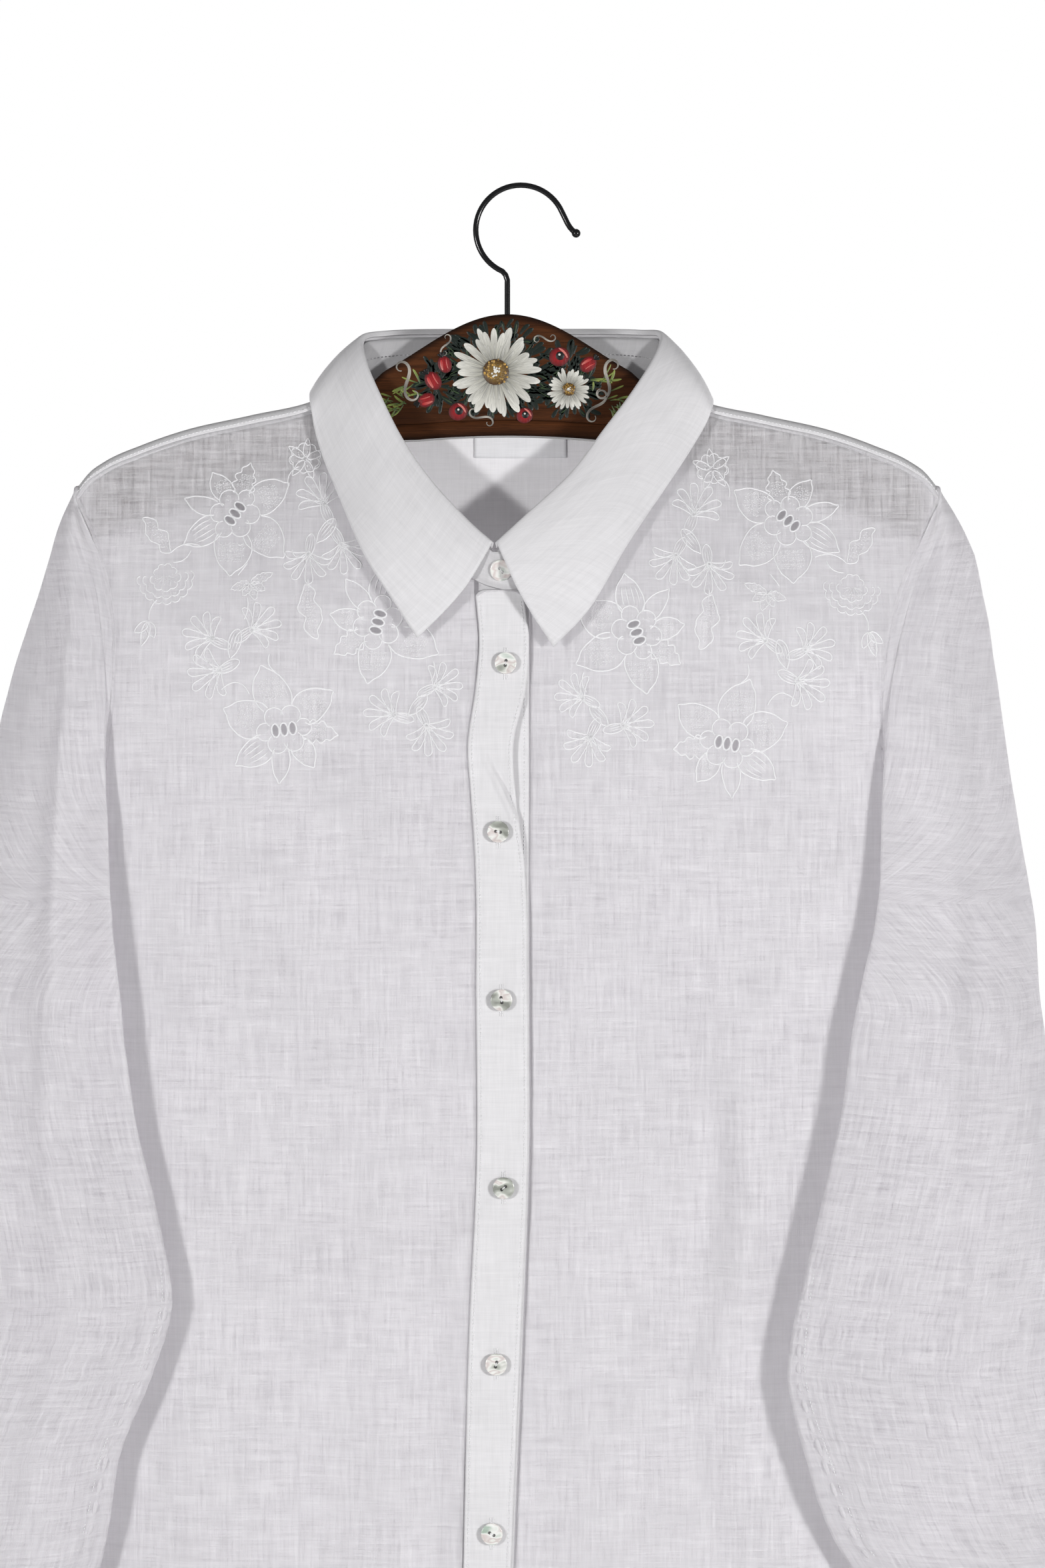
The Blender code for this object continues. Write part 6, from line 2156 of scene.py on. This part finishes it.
def painted_daisy(batch, bloom, draw, layer):
    """Long uneven petals in two rounds, then a dabbed gold middle with white stamens."""
    x, z, radius = bloom.x, bloom.z, bloom.radius
    start = radius * 0.24
    for ring, share in enumerate((1.0, 0.90)):
        for i in range(bloom.petals):
            heading = 360.0 * (i + 0.5 * ring) / bloom.petals + draw.uniform(-5, 5)
            reach = radius * share * draw.uniform(0.88, 1.04)
            tone = draw.uniform(0.80, 1.06)
            width = radius * draw.uniform(0.135, 0.185)
            spot = polar(x, z, start, math.radians(heading))
            bend = draw.uniform(-1.3, 1.3) * radius / 20
            tones = toned(CREAM, tone), toned(WHITE, tone)
            petal = Stroke(*spot, heading, reach - start, width, bend, *tones, layer + ring * 3 + (i % 3))
            brush_stroke(batch, petal)
            streak = petal._replace(length=petal.length * 0.55, width=width * 0.2, layer=petal.layer + 6)
            brush_stroke(batch, streak._replace(base=toned(CREAM, 0.45), tip=toned(WHITE, 0.8)))
    painted_disc(batch, x, z, radius * 0.29, GOLD, UMBER, layer + 12, rise=0.9)
    for _ in range(60):
        angle = draw.uniform(0, 2 * math.pi)
        reach = radius * draw.uniform(0.14, 0.29)
        spot = polar(x, z, reach, angle)
        tone = toned(GOLD, draw.uniform(0.4, 2.6))
        painted_disc(batch, *spot, radius * 0.024, tone, tone, layer + 26, rise=0.2)
    for _ in range(22):
        angle = draw.uniform(0, 2 * math.pi)
        reach = radius * draw.uniform(0.0, 0.13)
        spot = polar(x, z, reach, angle)
        painted_disc(batch, *spot, radius * 0.022, WHITE, WHITE, layer + 34, rise=0.2)


def painted_foliage(batch, leaves, draw):
    """A dense dark mass of short leaves round a bloom, a few of them lit."""
    for _ in range(leaves.count):
        heading = draw.uniform(0, 360)
        start = draw.uniform(leaves.inner, leaves.outer * 0.92)
        x, z = polar(leaves.x, leaves.z, start, math.radians(heading))
        turned = heading + draw.uniform(-42, 42)
        length = draw.uniform(4.5, 9.5)
        width = draw.uniform(1.6, 3.0)
        bend = draw.uniform(-1.6, 1.6)
        light = draw.uniform() < 0.20
        if not (on_board(x, z) and on_board(*polar(x, z, length, math.radians(turned)))):
            continue
        leaf = Stroke(x, z, turned, length, width, bend, LEAF, LEAF, 0)
        brush_stroke(batch, leaf)
        if light:
            rib = leaf._replace(width=width * 0.35, length=length * 0.8)
            brush_stroke(batch, rib._replace(tip=LEAF_LIGHT, layer=1))


def painted_blades(batch, blades, draw):
    """Thin grass-like strokes with yellow-green tips."""
    for _ in range(blades.count):
        x = blades.x + draw.uniform(-6, 6)
        z = blades.z + draw.uniform(-4, 5)
        heading = blades.heading + draw.uniform(-60, 60)
        length = draw.uniform(4.5, 9.0)
        width = draw.uniform(0.7, 1.4)
        bend = draw.uniform(-2.0, 2.0)
        brush_stroke(batch, Stroke(x, z, heading, length, width, bend, LEAF_LIGHT, BLADE, 2))


def painted_bud(batch, bud, layer):
    """A red bud, maroon below, with a pale edge and a black tip."""
    angle = math.radians(bud.heading)
    ahead = np.array([math.cos(angle), math.sin(angle)])
    beside = np.array([-math.sin(angle), math.cos(angle)])
    size = bud.size
    middle = np.array([bud.x, bud.z])
    painted_disc(batch, *middle, size, RED, MAROON, layer, 0.78, bud.heading)
    for share, width in ((0.42, 0.30), (-0.20, 0.14)):
        start = middle - ahead * size * 0.55 + beside * size * share
        sizes = size * 1.2, size * width, -size * 0.2
        brush_stroke(batch, Stroke(*start, bud.heading, *sizes, PINK, toned(RED, 1.5), layer + 9))
    tip = middle + ahead * size * 0.85
    for spread in (-34, 0, 34):
        heading = bud.heading + spread
        brush_stroke(batch, Stroke(*tip, heading, size * 0.6, size * 0.26, 0.0, BLACK, BLACK, layer + 10))


def painted_poppy(batch, x, z, size, layer):
    """A red disc with a black eye and a pale crescent on its upper edge."""
    painted_disc(batch, x, z, size, RED, MAROON, layer, 0.92, 20.0)
    painted_disc(batch, x + size * 0.08, z + size * 0.08, size * 0.42, BLACK, BLACK, layer + 8, rise=0.3)
    painted_disc(batch, x + size * 0.02, z + size * 0.20, size * 0.11, WHITE, WHITE, layer + 17, rise=0.1)
    spot = x + size * 0.78, z - size * 0.1
    sizes = size * 1.15, size * 0.24, size * 0.5
    brush_stroke(batch, Stroke(*spot, 108, *sizes, PINK, PINK, layer + 9))


def make_painting():
    """A folk posy across the board's face: daisies, poppies, buds, leaves and scrolls."""
    draw = np.random.default_rng(5)
    batch = Batch()
    for leaves in LEAVES:
        painted_foliage(batch, leaves, draw)
    for blades in BLADES:
        painted_blades(batch, blades, draw)
    for bud in BUDS:
        painted_bud(batch, bud, 3)
    for poppy in POPPIES:
        painted_poppy(batch, *poppy, 3)
    painted_daisy(batch, BIG_DAISY, draw, 4)
    painted_daisy(batch, SMALL_DAISY, draw, 4)
    for scroll in SCROLLS:
        painted_scroll(batch, scroll, 3)
    obj = batch.build("hanger_painting", finish("Brushed paint"))
    finish_piece(obj, "wood")


def area_light(name, place, target, size, power):
    light = bpy.data.lights.new(name, "AREA")
    light.shape = "RECTANGLE"
    light.size, light.size_y = size
    light.energy = power
    lamp = bpy.data.objects.new(name, light)
    lamp.location = place
    lamp.rotation_euler = (Vector(target) - Vector(place)).to_track_quat("-Z", "Y").to_euler()
    lamp.visible_camera = False
    bpy.context.scene.collection.objects.link(lamp)
    return lamp


def receivers(name, pieces, state):
    """A collection that tells a lamp which pieces it lights, or which it leaves out."""
    chosen = bpy.data.collections.new(name)
    for piece in pieces:
        chosen.objects.link(bpy.data.objects[piece])
    for link in chosen.collection_objects:
        link.light_linking.link_state = state
    return chosen


# Pieces that some lamps light alone or leave out
NECK_PIECES = ("linen_back", "woven_label")
STAND_PIECES = ("linen_collar_stand",)
REAR_PIECES = (
    "linen_back",
    "linen_collar_leaf",
    "linen_cuff_right",
    "linen_cuff_left",
    "sewing_seams",
    "sewing_stitches",
    "nacre_cuff_button_right",
    "nacre_cuff_button_left",
    "hanger_board",
)
SLEEVE_PIECES = ("linen_sleeve_right", "linen_sleeve_left")

# Lamps in pairs, one each side: place in metres, power of the left and right one in watts, and
# the pieces that they light or leave out
Lamp = namedtuple("Lamp", "name x y z aim_z size left right pieces state")
LAMPS = (
    Lamp("Softbox", 1.70, -1.75, -0.30, -0.40, 0.36, 30.5, 39.0, NECK_PIECES + STAND_PIECES, "EXCLUDE"),
    Lamp("Neck light", 0.80, -2.15, -0.45, -0.16, 0.12, 18.5, 22.5, NECK_PIECES, "INCLUDE"),
    Lamp("Collar light", 0.80, -2.15, -0.45, -0.16, 0.12, 14.0, 18.0, STAND_PIECES, "INCLUDE"),
    Lamp("Rear softbox", 1.70, 1.75, -0.30, -0.40, 0.36, 22.0, 22.0, REAR_PIECES, "INCLUDE"),
    Lamp("Rear sleeve light", 1.70, 1.75, -0.30, -0.40, 0.36, 14.0, 21.0, SLEEVE_PIECES, "INCLUDE"),
)


CAMERA_LENS = 97.9
CAMERA_PLACE = (0.0003, -2.22, -0.3103)
WORLD_LIGHT = 0.14


def make_stage():
    """Camera, lights, white surroundings and a pale floor."""
    scene = bpy.context.scene
    scene.view_settings.view_transform = "Standard"
    view = bpy.data.cameras.new("Front view")
    view.lens = CAMERA_LENS
    view.clip_start = 0.05
    camera = bpy.data.objects.new("Front view", view)
    camera.location = CAMERA_PLACE
    camera.rotation_euler = (math.pi / 2, 0.0, 0.0)
    scene.collection.objects.link(camera)
    scene.camera = camera
    world = bpy.data.worlds.new("White studio")
    world.use_nodes = True
    scene.world = world
    tree = world.node_tree
    soft = tree.nodes["Background"]
    soft.inputs[0].default_value = (1.0, 1.0, 1.0, 1.0)
    soft.inputs[1].default_value = WORLD_LIGHT
    seen = node(tree, "ShaderNodeBackground", Strength=1.0)
    seen.inputs[0].default_value = (1.0, 1.0, 1.0, 1.0)
    path = tree.nodes.new("ShaderNodeLightPath")
    choice = tree.nodes.new("ShaderNodeMixShader")
    tree.links.new(path.outputs["Is Camera Ray"], choice.inputs[0])
    tree.links.new(soft.outputs[0], choice.inputs[1])
    tree.links.new(seen.outputs[0], choice.inputs[2])
    tree.links.new(choice.outputs[0], tree.nodes["World Output"].inputs[0])
    for row in LAMPS:
        for side, power in ((-1, row.left), (1, row.right)):
            place = (side * row.x, row.y, row.z)
            lamp = area_light(row.name, place, (0.0, 0.0, row.aim_z), (row.size, row.size * 1.3), power)
            lamp.light_linking.receiver_collection = receivers(row.name, row.pieces, row.state)
    glow = area_light("Backdrop glow", (0.0, 2.3, -0.35), (0.0, 0.0, -0.35), (1.3, 1.3), 7.0)
    inside = NECK_PIECES + STAND_PIECES
    glow.light_linking.receiver_collection = receivers("Glow leaves out", inside, "EXCLUDE")
    glow.light_linking.blocker_collection = receivers("Glow passes", inside, "EXCLUDE")
    deselect()
    bpy.ops.mesh.primitive_plane_add(size=4.0, location=(0.0, 0.0, -1.6))
    floor = bpy.context.object
    floor.name = "studio_floor"
    made, tree = blank_material("Pale floor")
    shader = node(tree, "ShaderNodeBsdfPrincipled", Roughness=0.8, Base_Color=(0.86, 0.86, 0.86, 1.0))
    floor.data.materials.append(completed(made, shader))


class SHIRT_OT_back(bpy.types.Operator):
    """Makes the linen back"""

    bl_idname = "shirt.back"
    bl_label = "Back"

    def execute(self, context):
        make_back()
        return {"FINISHED"}


class SHIRT_OT_fronts(bpy.types.Operator):
    """Makes the two linen fronts with their cutwork slots"""

    bl_idname = "shirt.fronts"
    bl_label = "Fronts"

    def execute(self, context):
        for side in SIDES:
            make_front(side)
        return {"FINISHED"}


class SHIRT_OT_sleeves(bpy.types.Operator):
    """Makes the sleeves and their cuffs"""

    bl_idname = "shirt.sleeves"
    bl_label = "Sleeves and cuffs"

    def execute(self, context):
        for side in SIDES:
            make_sleeve(side)
            make_cuff(side)
        return {"FINISHED"}


class SHIRT_OT_collar(bpy.types.Operator):
    """Makes the collar leaf and its stand"""

    bl_idname = "shirt.collar"
    bl_label = "Collar"

    def execute(self, context):
        make_collar_leaf()
        make_collar_stand()
        return {"FINISHED"}


class SHIRT_OT_bands(bpy.types.Operator):
    """Makes the buttonhole and button bands"""

    bl_idname = "shirt.bands"
    bl_label = "Front bands"

    def execute(self, context):
        for kind in ("over", "under"):
            make_band(kind)
        return {"FINISHED"}


class SHIRT_OT_label(bpy.types.Operator):
    """Makes the bare woven label"""

    bl_idname = "shirt.label"
    bl_label = "Label"

    def execute(self, context):
        make_label()
        return {"FINISHED"}


class SHIRT_OT_buttons(bpy.types.Operator):
    """Makes the shell buttons and their threads"""

    bl_idname = "shirt.buttons"
    bl_label = "Buttons"

    def execute(self, context):
        make_buttons()
        return {"FINISHED"}


class SHIRT_OT_whitework(bpy.types.Operator):
    """Embroiders the two fronts"""

    bl_idname = "shirt.whitework"
    bl_label = "Whitework"

    def execute(self, context):
        for side in SIDES:
            make_whitework(side)
        return {"FINISHED"}


class SHIRT_OT_sewing(bpy.types.Operator):
    """Makes stitch rows, buttonholes and seams"""

    bl_idname = "shirt.sewing"
    bl_label = "Sewing"

    def execute(self, context):
        make_sewing()
        return {"FINISHED"}


class SHIRT_OT_hanger(bpy.types.Operator):
    """Makes the painted board and its hook"""

    bl_idname = "shirt.hanger"
    bl_label = "Hanger"

    def execute(self, context):
        make_board()
        make_painting()
        make_hook()
        return {"FINISHED"}


class SHIRT_OT_stage(bpy.types.Operator):
    """Makes the camera, lights and floor"""

    bl_idname = "shirt.stage"
    bl_label = "Stage"

    def execute(self, context):
        make_stage()
        return {"FINISHED"}


OPERATORS = (
    SHIRT_OT_back,
    SHIRT_OT_fronts,
    SHIRT_OT_sleeves,
    SHIRT_OT_collar,
    SHIRT_OT_bands,
    SHIRT_OT_label,
    SHIRT_OT_buttons,
    SHIRT_OT_whitework,
    SHIRT_OT_sewing,
    SHIRT_OT_hanger,
    SHIRT_OT_stage,
)


class VIEW3D_PT_shirt(bpy.types.Panel):
    """Lists the pieces of the shirt."""

    bl_label = "Shirt"
    bl_space_type = "VIEW_3D"
    bl_region_type = "UI"
    bl_category = "Shirt"

    def draw(self, context):
        for group in (context.scene.shirt_sizes, context.scene.shirt_colours):
            for name in group.__annotations__:
                self.layout.prop(group, name)
        for operator in OPERATORS:
            self.layout.operator(operator.bl_idname)


CLASSES = (ShirtSizes, ShirtColours, *OPERATORS, VIEW3D_PT_shirt)


def register():
    for made in CLASSES:
        bpy.utils.register_class(made)
    bpy.types.Scene.shirt_sizes = bpy.props.PointerProperty(type=ShirtSizes)
    bpy.types.Scene.shirt_colours = bpy.props.PointerProperty(type=ShirtColours)


def unregister():
    del bpy.types.Scene.shirt_colours
    del bpy.types.Scene.shirt_sizes
    for made in reversed(CLASSES):
        bpy.utils.unregister_class(made)


def main():
    register()
    bpy.ops.shirt.back()
    bpy.ops.shirt.fronts()
    bpy.ops.shirt.sleeves()
    bpy.ops.shirt.collar()
    bpy.ops.shirt.bands()
    bpy.ops.shirt.label()
    bpy.ops.shirt.buttons()
    bpy.ops.shirt.whitework()
    bpy.ops.shirt.sewing()
    bpy.ops.shirt.hanger()
    bpy.ops.shirt.stage()


if __name__ == "__main__":
    main()
